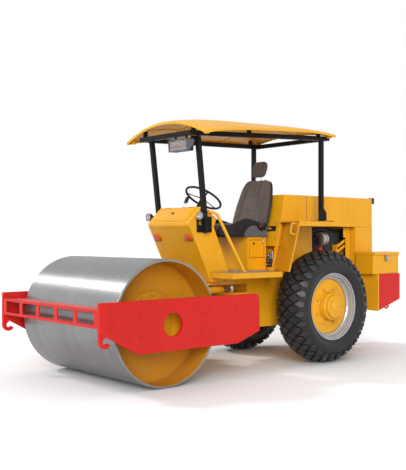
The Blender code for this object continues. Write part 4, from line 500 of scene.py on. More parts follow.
def add_rod(work, start, end, radius, steps=20, chamfer=0.0):
    """A round bar between two points, its ends chamfered when asked."""
    start, end = Vector(start), Vector(end)
    length = (end - start).length
    cut = min(chamfer, length / 3, radius / 2)
    profile = [(0, 0), (0, radius - cut), (cut, radius), (length - cut, radius), (length, radius - cut),
               (length, 0)]
    if not cut:
        profile = [(0, 0), (0, radius), (length, radius), (length, 0)]
    add_turned(work, profile, start, end - start, steps)


def add_bolt(work, at, out, size=0.011, height=0.010):
    """A hex bolt head on its washer, standing out of a surface."""
    at, out = Vector(at), Vector(out).normalized()
    add_rod(work, at - out * 0.001, at + out * 0.003, size * 1.45, 20, 0.0008)
    add_rod(work, at + out * 0.002, at + out * (0.002 + height), size, 6, 0.0012)


def add_ring(work, at, axis, radius, thickness, steps=64, sides=10):
    """A torus."""
    profile = [
        (thickness * math.sin(a), radius + thickness * math.cos(a))
        for a in (2 * math.pi * k / sides for k in range(sides))
    ]
    add_turned(work, profile, at, axis, steps, closed=True)


def smooth_path(points, rounds=3):
    """Rounds the corners of a line of points by cutting them again and again."""
    points = [Vector(point) for point in points]
    for _ in range(rounds):
        cut = [points[0]]
        for first, second in zip(points, points[1:]):
            cut += [first.lerp(second, 0.25), first.lerp(second, 0.75)]
        cut.append(points[-1])
        points = cut
    return points


def add_tube(work, points, radius, sides=12):
    """A round tube along a line of points, its ends closed."""
    points = [Vector(point) for point in points]
    rings = []
    up = Vector((0, 0, 1))
    for index, point in enumerate(points):
        before, after = points[max(index - 1, 0)], points[min(index + 1, len(points) - 1)]
        way = (after - before).normalized()
        across = up.cross(way)
        across = across.normalized() if across.length > 0.05 else Vector((1, 0, 0)).cross(way).normalized()
        if rings and across.dot(last) < 0:
            across = -across
        last = across
        over = way.cross(across)
        rings.append([
            work.verts.new(point + radius * (math.cos(a) * across + math.sin(a) * over))
            for a in (2 * math.pi * k / sides for k in range(sides))
        ])
    join_rings(work, rings, ends=True)


def boxes(name, body, finish, corners, width, segments, *replaced):
    """Boxes between pairs of corners, as one piece with rounded edges."""
    work = bmesh.new()
    for low, high in corners:
        add_box(work, low, high)
    return rounded(piece(name, work, body, finish, *replaced), width, segments)


SIDES = (("left", 1), ("right", -1))
DRUM = Vector((0, -1.4925, 0.6095))
AXLE = Vector((0, 0.8775, 0.64))
print("drum axle at", tuple(DRUM), "rear axle at", tuple(AXLE))

# %% [markdown]
# ## The drum
# The roll is a thick steel shell, turned from a closed profile with a small chamfer at each rim. Its
# inside is painted, so the faces there take a second material. Each recessed head has a raised ring
# with bolts, the bearing hub, and the weld that holds it in the shell.

# %% Drum shell
shell_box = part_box("drum_shell")
half_width = shell_box[1].x
radius = (shell_box[1].z - shell_box[0].z) / 2
wall, edge = 0.025, 0.003
work = bmesh.new()
profile = []
for side in (1, -1):
    rim = [(side * (half_width - edge), radius), (side * half_width, radius - edge),
           (side * half_width, radius - wall + edge), (side * (half_width - edge), radius - wall)]
    profile += rim if side > 0 else rim[::-1]
add_turned(work, profile, DRUM, (1, 0, 0), 256, closed=True)
for face in work.faces:
    away = face.calc_center_median() - DRUM
    face.material_index = int(math.hypot(away.y, away.z) < radius - wall * 0.6)
piece("drum_shell_rolled", work, "drum", "drum", "drum_shell", extra=("yellow_inside",))

# %% Drum heads
HEAD_RECESS = 0.26
for name, side in SIDES:
    work = bmesh.new()
    face = half_width - HEAD_RECESS
    inside = radius - wall
    profile = [
        (face - 0.025, 0), (face - 0.025, inside - 0.0003), (face, inside - 0.0003), (face, 0.298),
        (face + 0.016, 0.292), (face + 0.02, 0.284), (face + 0.02, 0.124), (face + 0.086, 0.120),
        (face + 0.09, 0.116), (face + 0.09, 0.082), (face + 0.02, 0.0806), (face + 0.02, 0),
    ]
    out = Vector((side, 0, 0))
    add_turned(work, profile, DRUM, out, 128)
    add_ring(work, DRUM + out * (face + 0.002), out, inside - 0.002, 0.007, 128, 8)
    add_ring(work, DRUM + out * (face + 0.001), out, 0.300, 0.005, 96, 8)
    for spoke in around(12):
        add_bolt(work, DRUM + out * (face + 0.02) + spoke * 0.255, out, 0.013, 0.010)
    for spoke in around(8, 0.5):
        add_bolt(work, DRUM + out * (face + 0.0895) + spoke * 0.100, out, 0.006, 0.005)
    plug = DRUM + out * face + Vector((0, 0.40, 0.12))
    add_rod(work, plug, plug + out * 0.018, 0.022, 24, 0.003)
    add_bolt(work, plug + out * 0.017, out, 0.012, 0.010)
    piece("drum_head_" + name + "_welded", work, "drum", "yellow_inside", "drum_head_" + name)
print("drum:", round(2 * radius, 4), "across,", round(2 * half_width, 4), "wide")

# %% [markdown]
# ## The front frame
# Two thick red plates carry the drum on rubber buffers, joined by the ladder bumper in front and the
# yellow beam behind. Plates and bumper keep their CAD shapes with rounded edges. Welds run where the
# ladder meets the plates. The buffers are separate rubber blocks between steel cups.

# %% Plates, bumper and beam
for name, side in SIDES:
    softened("side_plate_" + name, "front_frame", "red", 0.003)
softened("front_bumper", "front_frame", "red", 0.003)
softened("front_beam", "front_frame", "yellow", 0.004)
BUFFER_PLACES = ((-0.37, -0.085), (-0.37, 0.085), (0.37, -0.085), (0.37, 0.085))
PLATE_BOLTS = ((-0.7, 0.17), (-0.7, 0.02), *BUFFER_PLACES, (0.8, 0.12), (0.8, -0.08))
BOLT_STANDS = 0.012  # how far the source's bolts stand out of the plate
work = bmesh.new()
for side in (1, -1):
    face = side * (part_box("side_plate_left")[1].x - BOLT_STANDS)
    for y, z in PLATE_BOLTS:
        add_bolt(work, (face, DRUM.y + y, DRUM.z + z), (side, 0, 0), 0.016, 0.0098)
piece("side_plate_bolts", work, "front_frame", "red")


def add_weld(work, start, end, radius=0.005):
    """A weld bead with its ripples, between two points."""
    start, end = Vector(start), Vector(end)
    length = (end - start).length
    count = max(4, int(length / 0.009))
    profile = [(0, 0)]
    for index in range(count):
        along = length * (index + 0.5) / count
        profile.append((along, radius * (1.0 + 0.22 * math.sin(index * 2.4))))
    profile.append((length, 0))
    add_turned(work, profile, start, end - start, 8)


work = bmesh.new()
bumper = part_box("front_bumper")
for side in (1, -1):
    x = side * bumper[1].x
    for z in (bumper[0].z + 0.001, bumper[1].z - 0.015):
        add_weld(work, (x, bumper[0].y + 0.006, z), (x, bumper[1].y - 0.004, z))
    rear = bumper[1].y - 0.001
    add_weld(work, (x, rear, bumper[0].z + 0.01), (x, rear, bumper[1].z - 0.01))
piece("bumper_welds", work, "front_frame", "red")

# %% Porthole rings and drum carriers
BUFFER = ((0.010, 0), (0.010, 0.050), (0.04, 0.055), (0.08, 0.050), (0.12, 0.055), (0.154, 0.050), (0.154, 0))
for name, side in SIDES:
    out = Vector((side, 0, 0))
    work = bmesh.new()
    for x in (0.9285, 0.8965):
        add_ring(work, DRUM + out * x, out, 0.1135, 0.0022, 64, 8)
    piece("porthole_edge_" + name, work, "front_frame", "red")
    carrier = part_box("drum_carrier_" + name)
    inner_x, outer_x = 0.70, 0.73
    low, high = (Vector((side * x, corner.y, corner.z)) for x, corner in zip((inner_x, outer_x), carrier))
    boxes("carrier_plate_" + name, "front_frame", "yellow", [(low, high)], 0.012, 3, "drum_carrier_" + name)
    work = bmesh.new()
    add_rod(work, DRUM + out * 0.652, DRUM + out * 0.704, 0.08, 48, 0.003)
    add_turned(work, [(0, 0), (0, 0.13), (0.012, 0.13), (0.02, 0.11), (0.02, 0)], DRUM + out * outer_x, out, 64)
    for spoke in around(8):
        add_bolt(work, DRUM + out * (outer_x + 0.012) + spoke * 0.119, out, 0.007, 0.006)
    piece("carrier_bearing_" + name, work, "front_frame", "yellow")
    work = bmesh.new()
    cups = bmesh.new()
    for y, z in BUFFER_PLACES:
        at = DRUM + Vector((side * outer_x, y, z))
        add_turned(work, BUFFER, at, out, 40)
        for along in (0.0, 0.152):
            add_rod(cups, at + out * along, at + out * (along + 0.0125), 0.058, 40, 0.002)
    piece("drum_buffers_" + name, work, "front_frame", "hose")
    piece("buffer_cups_" + name, cups, "front_frame", "cast")

# %% [markdown]
# ## The rear wheels
# The tyre has a diamond pattern: rows of pillow lugs, each row half a pitch round from the next, with
# long shoulder lugs that run down the side. Here the casing is one turned skin, and each lug is a small
# block drawn on the casing's own curve, so the pattern wraps the crown and the shoulder without a
# gap. The lug tops take their own, dustier rubber.

# %% Tyre casing and lugs
WHEEL_X = 0.68  # from the machine's middle to the wheel's
TYRE_RADIUS, CROWN = 0.64, 0.05  # to the lug tops, and the tread's drop to its edge
TREAD_HALF, LUG_HEIGHT = 0.172, 0.022
AROUND, ROWS = 32, 4  # lugs round the tyre, and rows of them across it
SHOULDER_RADIUS = 0.568
PILLOW, LUG_SHARE = 1.38, 0.78  # how square a lug is, and its share of its place
LUG_SLOPE = 0.006
BULGE = (0.200, 0.500)  # across and out, where the side is widest
WALL = ((0.1990, 0.470), (0.1930, 0.440), (0.1815, 0.412), (0.170, 0.394), (0.165, 0.3795))
SHOULDER_RUN = math.hypot(BULGE[0] - TREAD_HALF, SHOULDER_RADIUS - BULGE[1])


def casing(across):
    """A point (across, radius) of the casing and its outward normal, by distance from the middle."""
    way = 1 if across >= 0 else -1
    across = abs(across)
    if across <= TREAD_HALF:
        share = across / TREAD_HALF
        slope = math.atan(2 * CROWN * share / TREAD_HALF)
        radius = TYRE_RADIUS - LUG_HEIGHT - CROWN * share ** 2
        return way * across, radius, way * math.sin(slope), math.cos(slope)
    share = min((across - TREAD_HALF) / SHOULDER_RUN, 1.0)
    x = TREAD_HALF + (BULGE[0] - TREAD_HALF) * share
    radius = SHOULDER_RADIUS + (BULGE[1] - SHOULDER_RADIUS) * share
    tilt = math.radians(33 + 40 * min(share * 2.2, 1.0))
    return way * x, radius, way * math.sin(tilt), math.cos(tilt)


def add_lug(work, corners, height, slope):
    """One lug: corners are (across, angle) on the casing, its top smaller than its foot."""
    middle_across = sum(c[0] for c in corners) / len(corners)
    middle_angle = sum(c[1] for c in corners) / len(corners)
    rings = []
    for lift, shrink in ((-0.004, 0.0), (height * 0.82, slope * 0.7), (height, slope * 1.35)):
        ring = []
        for across, angle in corners:
            away = math.hypot(across - middle_across, (angle - middle_angle) * 0.6)
            keep = max(0.2, 1 - shrink / max(away, 0.001))
            x, radius, out_x, out_r = casing(middle_across + (across - middle_across) * keep)
            turn = middle_angle + (angle - middle_angle) * keep
            reach = radius + out_r * lift
            ring.append(work.verts.new((x + out_x * lift, reach * math.sin(turn), reach * math.cos(turn))))
        rings.append(ring)
    join_rings(work, rings)
    top = work.faces.new(rings[-1])
    top.material_index = 1


def tyre_mesh():
    """The casing with its lugs, about its own middle."""
    work = bmesh.new()
    stations = [TREAD_HALF * k / 8 for k in range(9)]
    stations += [TREAD_HALF + SHOULDER_RUN * k / 4 for k in range(1, 5)]
    profile = [casing(across)[:2] for across in stations] + list(WALL)
    whole = [(-x, r) for x, r in reversed(profile[1:])] + profile
    add_turned(work, whole, (0, 0, 0), (1, 0, 0), 108, closed=True)
    pitch = 2 * math.pi / AROUND
    row_pitch = 2 * TREAD_HALF / (ROWS + 1)
    for row in range(1, ROWS + 1):
        x = -TREAD_HALF + row_pitch * row
        reach, width = row_pitch * LUG_SHARE, pitch / 2 * LUG_SHARE
        for index in range(AROUND):
            angle = pitch * (index + 0.5 * (row % 2))
            turns = [2 * math.pi * (k + 0.5) / 16 for k in range(16)]
            corners = [(x + reach * squared(math.cos(a), PILLOW), angle + width * squared(math.sin(a), PILLOW))
                       for a in turns]
            add_lug(work, corners, LUG_HEIGHT, LUG_SLOPE)
    for way in (-1, 1):
        for index in range(AROUND):
            angle = pitch * (index + 0.5 * ((ROWS + 1) % 2))
            half = pitch / 2
            inner, outer = TREAD_HALF - 0.050, TREAD_HALF + 0.042
            corners = [
                (way * inner, angle - 0.012), (way * inner, angle + 0.012),
                (way * TREAD_HALF, angle + half * 0.72), (way * outer, angle + half * 0.52),
                (way * outer, angle - half * 0.52), (way * TREAD_HALF, angle - half * 0.72),
            ]
            add_lug(work, corners, LUG_HEIGHT * 0.72, LUG_SLOPE)
    for radius, x in ((0.468, 0.1992), (0.405, 0.1785)):
        for way in (-1, 1):
            add_ring(work, (way * x, 0, 0), (1, 0, 0), radius, 0.0022, 108, 8)
    return work


for name, side in SIDES:
    work = tyre_mesh()
    bmesh.ops.translate(work, verts=work.verts, vec=(side * WHEEL_X, AXLE.y, AXLE.z))
    made = piece("tyre_" + name + "_lugged", work, "wheel_" + name, "rubber", "tyre_" + name,
                 crease=30, extra=("lug_top",))
print("tyre triangles:", sum(len(face.vertices) - 2 for face in made.data.polygons))

# %% [markdown]
# ## Rims, discs and hubs
# The rim is one pressed profile with its stepped bead seats. The yellow disc is set in and carries the
# geared hub, a big cap with a ring of bolts, and wheel nuts round its foot. All are turned profiles:
# a list of distances and radii says everything about such a part.

# %% Rims and hubs
RIM_PROFILE = (
    (-0.165, 0.3784), (-0.138, 0.3700), (0.138, 0.3700), (0.157, 0.3784), (0.1645, 0.3775), (0.165, 0.3735),
    (0.162, 0.3680), (0.150, 0.3660), (0.138, 0.3640), (0.137, 0.3530), (0.143, 0.3510), (0.142, 0.3460),
    (0.124, 0.3440), (0.112, 0.3415), (0.111, 0.3315), (0.117, 0.3295), (0.116, 0.3250), (0.098, 0.3225),
    (0.088, 0.3110), (0.050, 0.3105), (0.045, 0.318), (-0.11, 0.330), (-0.125, 0.352), (-0.158, 0.356),
    (-0.165, 0.366),
)
DISC_FACE = 0.075  # from the wheel's middle out to the disc, and from there the profile goes on
DISC_PROFILE = (
    (-0.016, 0), (-0.016, 0.3095), (-0.004, 0.3098), (0, 0.306), (0, 0.236), (0.006, 0.226), (0.010, 0.196),
    (0.010, 0.168), (0.014, 0.1635), (0.066, 0.161), (0.080, 0.158), (0.090, 0.150), (0.093, 0.141),
    (0.093, 0.134), (0.116, 0.132), (0.1215, 0.126), (0.1235, 0.112), (0.1245, 0.058), (0.128, 0.055),
    (0.133, 0.048), (0.136, 0.040), (0.137, 0.028), (0.137, 0),
)
for name, side in SIDES:
    at = Vector((side * WHEEL_X, AXLE.y, AXLE.z))
    out = Vector((side, 0, 0))
    work = bmesh.new()
    add_turned(work, RIM_PROFILE, at, out, 144, closed=True)
    valve = at + out * 0.10 + Vector((0, 0.335 * math.cos(0.9), 0.335 * math.sin(0.9)))
    add_rod(work, valve, valve + out * 0.03 - Vector((0, 0.01, 0.012)), 0.005, 12, 0.001)
    piece("rim_" + name + "_pressed", work, "wheel_" + name, "silver", "rim_" + name, crease=40)
    face = DISC_FACE
    work = bmesh.new()
    add_turned(work, [(face + along, radius) for along, radius in DISC_PROFILE], at, out, 144)
    for spoke in around(8, 0.5):
        foot = at + out * (face + 0.008) + spoke * 0.205
        add_rod(work, foot, foot + out * 0.006, 0.021, 24, 0.002)
        add_rod(work, foot + out * 0.005, foot + out * 0.018, 0.0155, 6, 0.0015)
        add_rod(work, foot + out * 0.017, foot + out * 0.026, 0.008, 14, 0.001)
    for spoke in around(10):
        add_bolt(work, at + out * (face + 0.1232) + spoke * 0.098, out, 0.008, 0.006)
    for spoke in around(12, 0.5):
        add_bolt(work, at + out * (face + 0.0895) + spoke * 0.147, out, 0.007, 0.005)
    piece("disc_" + name + "_geared", work, "wheel_" + name, "yellow", "wheel_disc_" + name, crease=38)
softened("rear_axle", "rear_unit", "yellow", 0.004)

# %% [markdown]
# ## Steering cylinders and the rear frame
# The barrels turn on pins on the front beam, and their rods reach back to the rear frame. They, the
# frame, the counterweight and the deck keep their CAD shapes with softer edges.

# %% Cylinders and frame
for name, side in SIDES:
    softened("steering_barrel_" + name, "steering_barrel_" + name, "yellow", 0.002)
    softened("steering_rod_" + name, "steering_rod_" + name, "steel", 0.0015)
softened("rear_frame", "rear_unit", "yellow", 0.004)
softened("counterweight", "rear_unit", "red", 0.006, 3)
softened("deck", "rear_unit", "yellow", 0.003)


# %% [markdown]
# ## The deck and its tread
# The operator stands on a steel pan with a lip. Its top is covered with grey tread plate, where small
# raised lozenges give grip. A lozenge is four sloped faces on the sheet, laid in rows that alternate
# direction, and one loop sets them all inside the sheet's outline.

# %% Tread plate with lozenges
DECK_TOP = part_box("deck")[1].z
HEEL_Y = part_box("console")[1].y


def add_lozenge(work, x, y, z, length, width, turn):
    """A low raised diamond on a plate."""
    along = Vector((math.cos(turn), math.sin(turn), 0))
    across = Vector((-along.y, along.x, 0))
    at = Vector((x, y, z))
    rim = [at + along * length, at + across * width, at - along * length, at - across * width]
    foot = [work.verts.new(point) for point in rim]
    top = [work.verts.new(at + (point - at) * 0.55 + Vector((0, 0, 0.0016))) for point in rim]
    work.faces.new(top)
    join_rings(work, (foot, top))


work = bmesh.new()
STEP = 0.021  # from one lozenge to the next
sheet_top = DECK_TOP + 0.0035
deck_low, deck_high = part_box("deck")
front, heel = deck_low.y + 0.012, HEEL_Y + 0.012
patches = (  # two corners of each sheet, and the margin behind its last row
    (-0.708, heel, 0.708, 0.040, 0.02), (0.285, 0.040, 0.70, 0.165, 0.02), (-0.70, 0.040, -0.285, 0.165, 0.02),
    (0.372, front, 0.708, heel, 0.012), (-0.708, front, -0.372, heel, 0.012),
)
for low_x, low_y, high_x, high_y, margin in patches:
    add_box(work, (low_x, low_y, DECK_TOP + 0.0004), (high_x, high_y, sheet_top))
    for row in range(int((high_y - low_y - margin) / STEP)):
        for column in range(int((high_x - low_x - 0.02) / STEP)):
            x, y = low_x + 0.018 + column * STEP, low_y + 0.016 + row * STEP
            turn = math.radians(45 if (row + column) % 2 else -45)
            add_lozenge(work, x, y, sheet_top, 0.0085, 0.003, turn)
piece("deck_tread", work, "rear_unit", "tread")

work = bmesh.new()
for side in (1, -1):
    for y in (deck_low.y + 0.05, HEEL_Y, -0.08):
        add_bolt(work, (side * deck_high.x, y, DECK_TOP - 0.03), (side, 0, 0), 0.008, 0.006)
    for x in (0.42, 0.66):
        add_bolt(work, (side * x, deck_low.y, DECK_TOP - 0.03), (0, -1, 0), 0.008, 0.006)
piece("deck_bolts", work, "rear_unit", "yellow")
print("tread covers the deck at", round(sheet_top, 4))

# %% [markdown]
# ## The console, its lid and the controls
# The console is a folded cabinet that leans over the drum. Its lid is a pressed pan: a flat top with
# a chamfer all round, which a frustum gives exactly. Behind it are the gauges, the two levers in
# rubber boots, and the steering wheel with a soft rim and three flat spokes.

# %% Console and lid
softened("console", "rear_unit", "yellow", 0.006, 3)
console_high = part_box("console")[1]
for side_name, side in SIDES:
    work = bmesh.new()
    for behind, z in ((0.22, 0.972), (0.12, 0.972), (0.06, 1.10), (0.12, 1.24)):
        add_bolt(work, (side * console_high.x, console_high.y - behind, z), (side, 0, 0), 0.007, 0.005)
    piece("console_bolts_" + side_name, work, "rear_unit", "yellow")

LID_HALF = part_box("console_lid")[1].x
ridge = Vector((0, -0.6705, 1.745))
lip = Vector((0, -0.8375, 1.58))
down = (lip - ridge).normalized()
out = Vector((0, down.z, -down.y))
slope_length = (lip - ridge).length
MARGIN = 0.014


def on_lid(x, along, height):
    """A point on the console's slope: across it, down it from the ridge, and out of it."""
    return Vector((x, 0, 0)) + ridge + down * along + out * height


work = bmesh.new()
rings = []
for inset, height in ((0.0, 0.0004), (0.0, 0.005), (0.004, 0.0065), (0.026, 0.0205), (0.029, 0.0215)):
    x, near, far = LID_HALF - inset, MARGIN + inset * 0.8, slope_length - MARGIN - inset * 0.8
    corners = ((-x, near), (x, near), (x, far), (-x, far))
    rings.append([work.verts.new(on_lid(across, along, height)) for across, along in corners])
join_rings(work, rings, ends=True)
rounded(piece("console_lid_pan", work, "console_lid", "yellow", "console_lid"), 0.0022, 3, 12)
work = bmesh.new()
middle = slope_length / 2
add_rod(work, on_lid(0, middle, 0.0205), on_lid(0, middle, 0.0255), 0.013, 24, 0.001)
add_rod(work, on_lid(0, middle, 0.025), on_lid(0, middle, 0.033), 0.005, 12)
add_rod(work, on_lid(-0.017, middle, 0.035), on_lid(0.017, middle + 0.006, 0.035), 0.0042, 12, 0.001)
piece("lid_lock", work, "console_lid", "plastic")
work = bmesh.new()
for x in (-0.2, 0.2):
    add_rod(work, on_lid(x - 0.045, 0.008, 0.005), on_lid(x + 0.045, 0.008, 0.005), 0.0045, 14, 0.001)
piece("lid_hinges", work, "rear_unit", "yellow")

# %% Gauges on the rear slope
nose = Vector((0, -0.4565, 1.623))
crest = Vector((0, -0.6505, 1.745))
back_slope = (nose - crest).normalized()
back_out = Vector((0, -back_slope.z, back_slope.y))


def on_back(x, along, height):
    """A point on the console's rear slope, measured down from its crest."""
    return Vector((x, 0, 0)) + crest + back_slope * along + back_out * height


work = bmesh.new()
faces = bmesh.new()
marks = bmesh.new()
for x, radius in ((0.10, 0.030), (0.18, 0.038), (0.265, 0.030)):
    at = on_back(x, 0.085, 0.0)
    bezel = [(0, 0), (0, radius), (0.012, radius), (0.016, radius - 0.003), (0.014, radius - 0.007),
             (0.006, radius - 0.008), (0.006, 0)]
    add_turned(work, bezel, at, back_out, 40)
    add_rod(faces, at + back_out * 0.0055, at + back_out * 0.0072, radius - 0.0082, 36)
    for tick in range(11):
        angle = math.radians(-30 + 24 * tick)
        way = Vector((math.cos(angle), 0, 0)) - back_slope * math.sin(angle)
        middle = at + back_out * 0.0074
        add_rod(marks, middle + way * (radius * 0.52), middle + way * (radius * 0.66), 0.0006, 6)
    needle = Vector((math.cos(2.2), 0, 0)) - back_slope * math.sin(2.2)
    add_rod(marks, at + back_out * 0.008, at + back_out * 0.008 + needle * radius * 0.55, 0.0008, 6)
for x in (0.085, 0.12, 0.155, 0.19, 0.225, 0.26):
    at = on_back(x, 0.155, 0.0)
    add_rod(work, at, at + back_out * 0.006, 0.009, 20, 0.001)
    add_rod(work, at + back_out * 0.005, at + back_out * 0.016 + back_slope * 0.004, 0.003, 10, 0.001)
piece("gauge_bezels", work, "rear_unit", "plastic")
piece("gauge_dials", faces, "rear_unit", "silver")
piece("gauge_marks", marks, "rear_unit", "plastic")

# %% Steering column, wheel and levers
wheel_hub = Vector((0, -0.3575, 1.835))
TILT = math.radians(33)
wheel_up = Vector((0, math.sin(TILT), math.cos(TILT)))
softened("steering_column", "rear_unit", "black", 0.0015)
work = bmesh.new()
boot_at = wheel_hub - wheel_up * 0.235
add_turned(work, [(0.0, 0.030), (0.0, 0.046), (0.012, 0.046), (0.016, 0.040), (0.026, 0.043), (0.030, 0.036),
                  (0.040, 0.038), (0.046, 0.031), (0.060, 0.031), (0.060, 0.0283)], boot_at, wheel_up, 32)
piece("column_boot", work, "rear_unit", "hose")
work = bmesh.new()
RIM, GRIP = 0.21, 0.0125  # the wheel's radius, and its rim's
profile = [(0.03 + GRIP * way.x, RIM + GRIP * way.y) for way in around(14, first=0, second=1)]
add_turned(work, profile, wheel_hub, wheel_up, 96, closed=True)
across = Vector((1, 0, 0))
level = wheel_up.cross(across)
for spoke in range(3):
    angle = 2 * math.pi * (spoke + 0.75) / 3
    way = across * math.cos(angle) + level * math.sin(angle)
    wide = way.cross(wheel_up)
    rings = []
    for share in (0.0, 0.15, 0.35, 0.6, 0.85, 1.0):
        at = wheel_hub + wheel_up * (0.020 + 0.011 * share) + way * (0.02 + (RIM - 0.024) * share)
        half, thick = 0.0125 - 0.005 * math.sin(math.pi * share) * 0.8, 0.0045
        rings.append([work.verts.new(at + wide * half * math.cos(a) + wheel_up * thick * math.sin(a))
                      for a in (2 * math.pi * k / 10 for k in range(10))])
    join_rings(work, rings)
add_turned(work, [(0.0003, 0), (0.0003, 0.027), (0.006, 0.033), (0.024, 0.035), (0.034, 0.034), (0.039, 0.029),
                  (0.0395, 0.022), (0.043, 0.021), (0.0445, 0.015), (0.0449, 0)], wheel_hub, wheel_up, 40)
piece("steering_wheel_moulded", work, "steering_wheel", "plastic", "steering_wheel", crease=45)

KNOB = ((0, 0.006), (0.004, 0.0095), (0.012, 0.0115), (0.040, 0.0125), (0.062, 0.0122), (0.074, 0.0095),
        (0.079, 0.005), (0.080, 0))
BOOT = ((-0.002, 0.0235), (0.002, 0.0235), (0.006, 0.019), (0.010, 0.021), (0.014, 0.0165), (0.018, 0.018),
        (0.023, 0.0125), (0.028, 0.0135), (0.034, 0.007), (0.036, 0.0059))
lever_middle = (nose + crest) / 2 + Vector((-0.125, 0, 0))
work = bmesh.new()
plate = [lever_middle + Vector((x, 0, 0)) + back_slope * s + back_out * h
         for h in (0.0004, 0.006) for x, s in ((-0.055, -0.045), (0.055, -0.045), (0.055, 0.045), (-0.055, 0.045))]
corners = [work.verts.new(point) for point in plate]
for face in ((3, 2, 1, 0), (4, 5, 6, 7), (0, 1, 5, 4), (1, 2, 6, 5), (2, 3, 7, 6), (3, 0, 4, 7)):
    work.faces.new([corners[k] for k in face])
rounded(piece("lever_plate", work, "rear_unit", "black", "control_levers"), 0.003, 2)
rods = bmesh.new()
grips = bmesh.new()
for index, lean in enumerate((0.085, 0.065)):
    foot = lever_middle + Vector(((index - 0.5) * 0.05, 0, 0)) + back_out * 0.006
    tip = foot + Vector((0.02, lean, 0.185))
    way = (tip - foot).normalized()
    add_rod(rods, foot, tip - way * 0.04, 0.0058, 16)
    add_turned(grips, KNOB, tip - way * 0.08, way, 20)
    add_turned(grips, BOOT, foot, way, 24)
piece("lever_rods", rods, "rear_unit", "steel")
piece("lever_grips", grips, "rear_unit", "plastic", crease=40)

# %% Handrails
console_x = console_high.x
for side_name, side in SIDES:
    points = [
        (side * (console_x + 0.001), -0.5775, 1.69), (side * (console_x + 0.03), -0.5675, 1.69),
        (side * 0.43, -0.5225, 1.675), (side * 0.438, -0.4925, 1.625), (side * 0.60, -0.2725, DECK_TOP + 0.001),
    ]
    work = bmesh.new()
    add_tube(work, smooth_path(points, 3), 0.0168, 20)
    head, foot = Vector((side * console_x, -0.5775, 1.69)), Vector((side * 0.60, -0.2725, sheet_top))
    add_rod(work, head, head + Vector((side * 0.005, 0, 0)), 0.029, 24, 0.001)
    add_rod(work, foot, foot + Vector((0, 0, 0.006)), 0.034, 28, 0.001)
    for across in (0.024, -0.024):
        add_bolt(work, foot + Vector((across, 0, 0.005)), (0, 0, 1), 0.005, 0.004)
    piece("handrail_" + side_name + "_tube", work, "rear_unit", "yellow", "handrail_" + side_name)
print("console, controls and handrails made")

# %% [markdown]
# ## The seat
# The cushions are real cloth simulations. Each pad starts as a plain lofted form, a little too small.
# A voxel remesh gives it an even skin, and Cloth blows it up with pressure while its seams are held,
# so it swells between them. The result is read back, no point having moved more than the cap. Piping
# and seams are laid on the swollen surface afterwards.

# %% Seat box, pan and covers
softened("seat_box", "rear_unit", "yellow", 0.004)
softened("seat_box_door", "seat_box_door", "yellow", 0.002)
box_low, box_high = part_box("seat_box")
door_low, door_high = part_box("seat_box_door")
work = bmesh.new()
lock_at = Vector((door_high.x - 0.001, door_low.y + 0.055, door_high.z - 0.035))
add_rod(work, lock_at, lock_at + Vector((0.006, 0, 0)), 0.012, 24, 0.001)
add_rod(work, lock_at + Vector((0.005, -0.008, -0.011)), lock_at + Vector((0.009, 0.001, 0.012)), 0.004, 10, 0.001)
piece("seat_box_lock", work, "seat_box_door", "plastic")
work = bmesh.new()
latch_y = box_high.y - 0.045
add_box(work, (0.2702, latch_y - 0.010, 1.352), (0.2735, latch_y + 0.012, 1.422))
add_rod(work, (0.2745, latch_y + 0.001, 1.36), (0.2745, latch_y + 0.001, 1.405), 0.0055, 14, 0.001)
add_bolt(work, (0.273, latch_y + 0.001, 1.413), (1, 0, 0), 0.005, 0.003)
rounded(piece("seat_latch", work, "rear_unit", "steel"), 0.0012, 2)
softened("seat_base", "rear_unit", "plastic", 0.005)
work = bmesh.new()
for side in (1, -1):
    for height, half in ((0.012, 0.018), (0.024, 0.013)):
        add_box(work, (side * 0.17 - half, box_low.y - 0.10, box_high.z + height - 0.0115),
                (side * 0.17 + half, box_high.y - 0.01, box_high.z + height))
    add_rod(work, (side * 0.17, box_low.y - 0.11, 1.445), (side * 0.17, box_low.y - 0.30, 1.432), 0.006, 14, 0.001)
add_rod(work, (-0.17, box_low.y - 0.30, 1.432), (0.17, box_low.y - 0.30, 1.432), 0.006, 14, 0.001)
rounded(piece("seat_slides", work, "rear_unit", "steel"), 0.001, 2)


def add_panel(work, outline, low_x, high_x):
    """A plate cut to an outline of (y, z) points, between two planes across the machine."""
    join_rings(work, [[work.verts.new((x, y, z)) for y, z in outline] for x in (low_x, high_x)], ends=True)


def curve_through(points, rounds=3):
    """Rounds a line of (y, z) points and returns it as pairs."""
    return [(point.y, point.z) for point in smooth_path([(0, y, z) for y, z in points], rounds)]


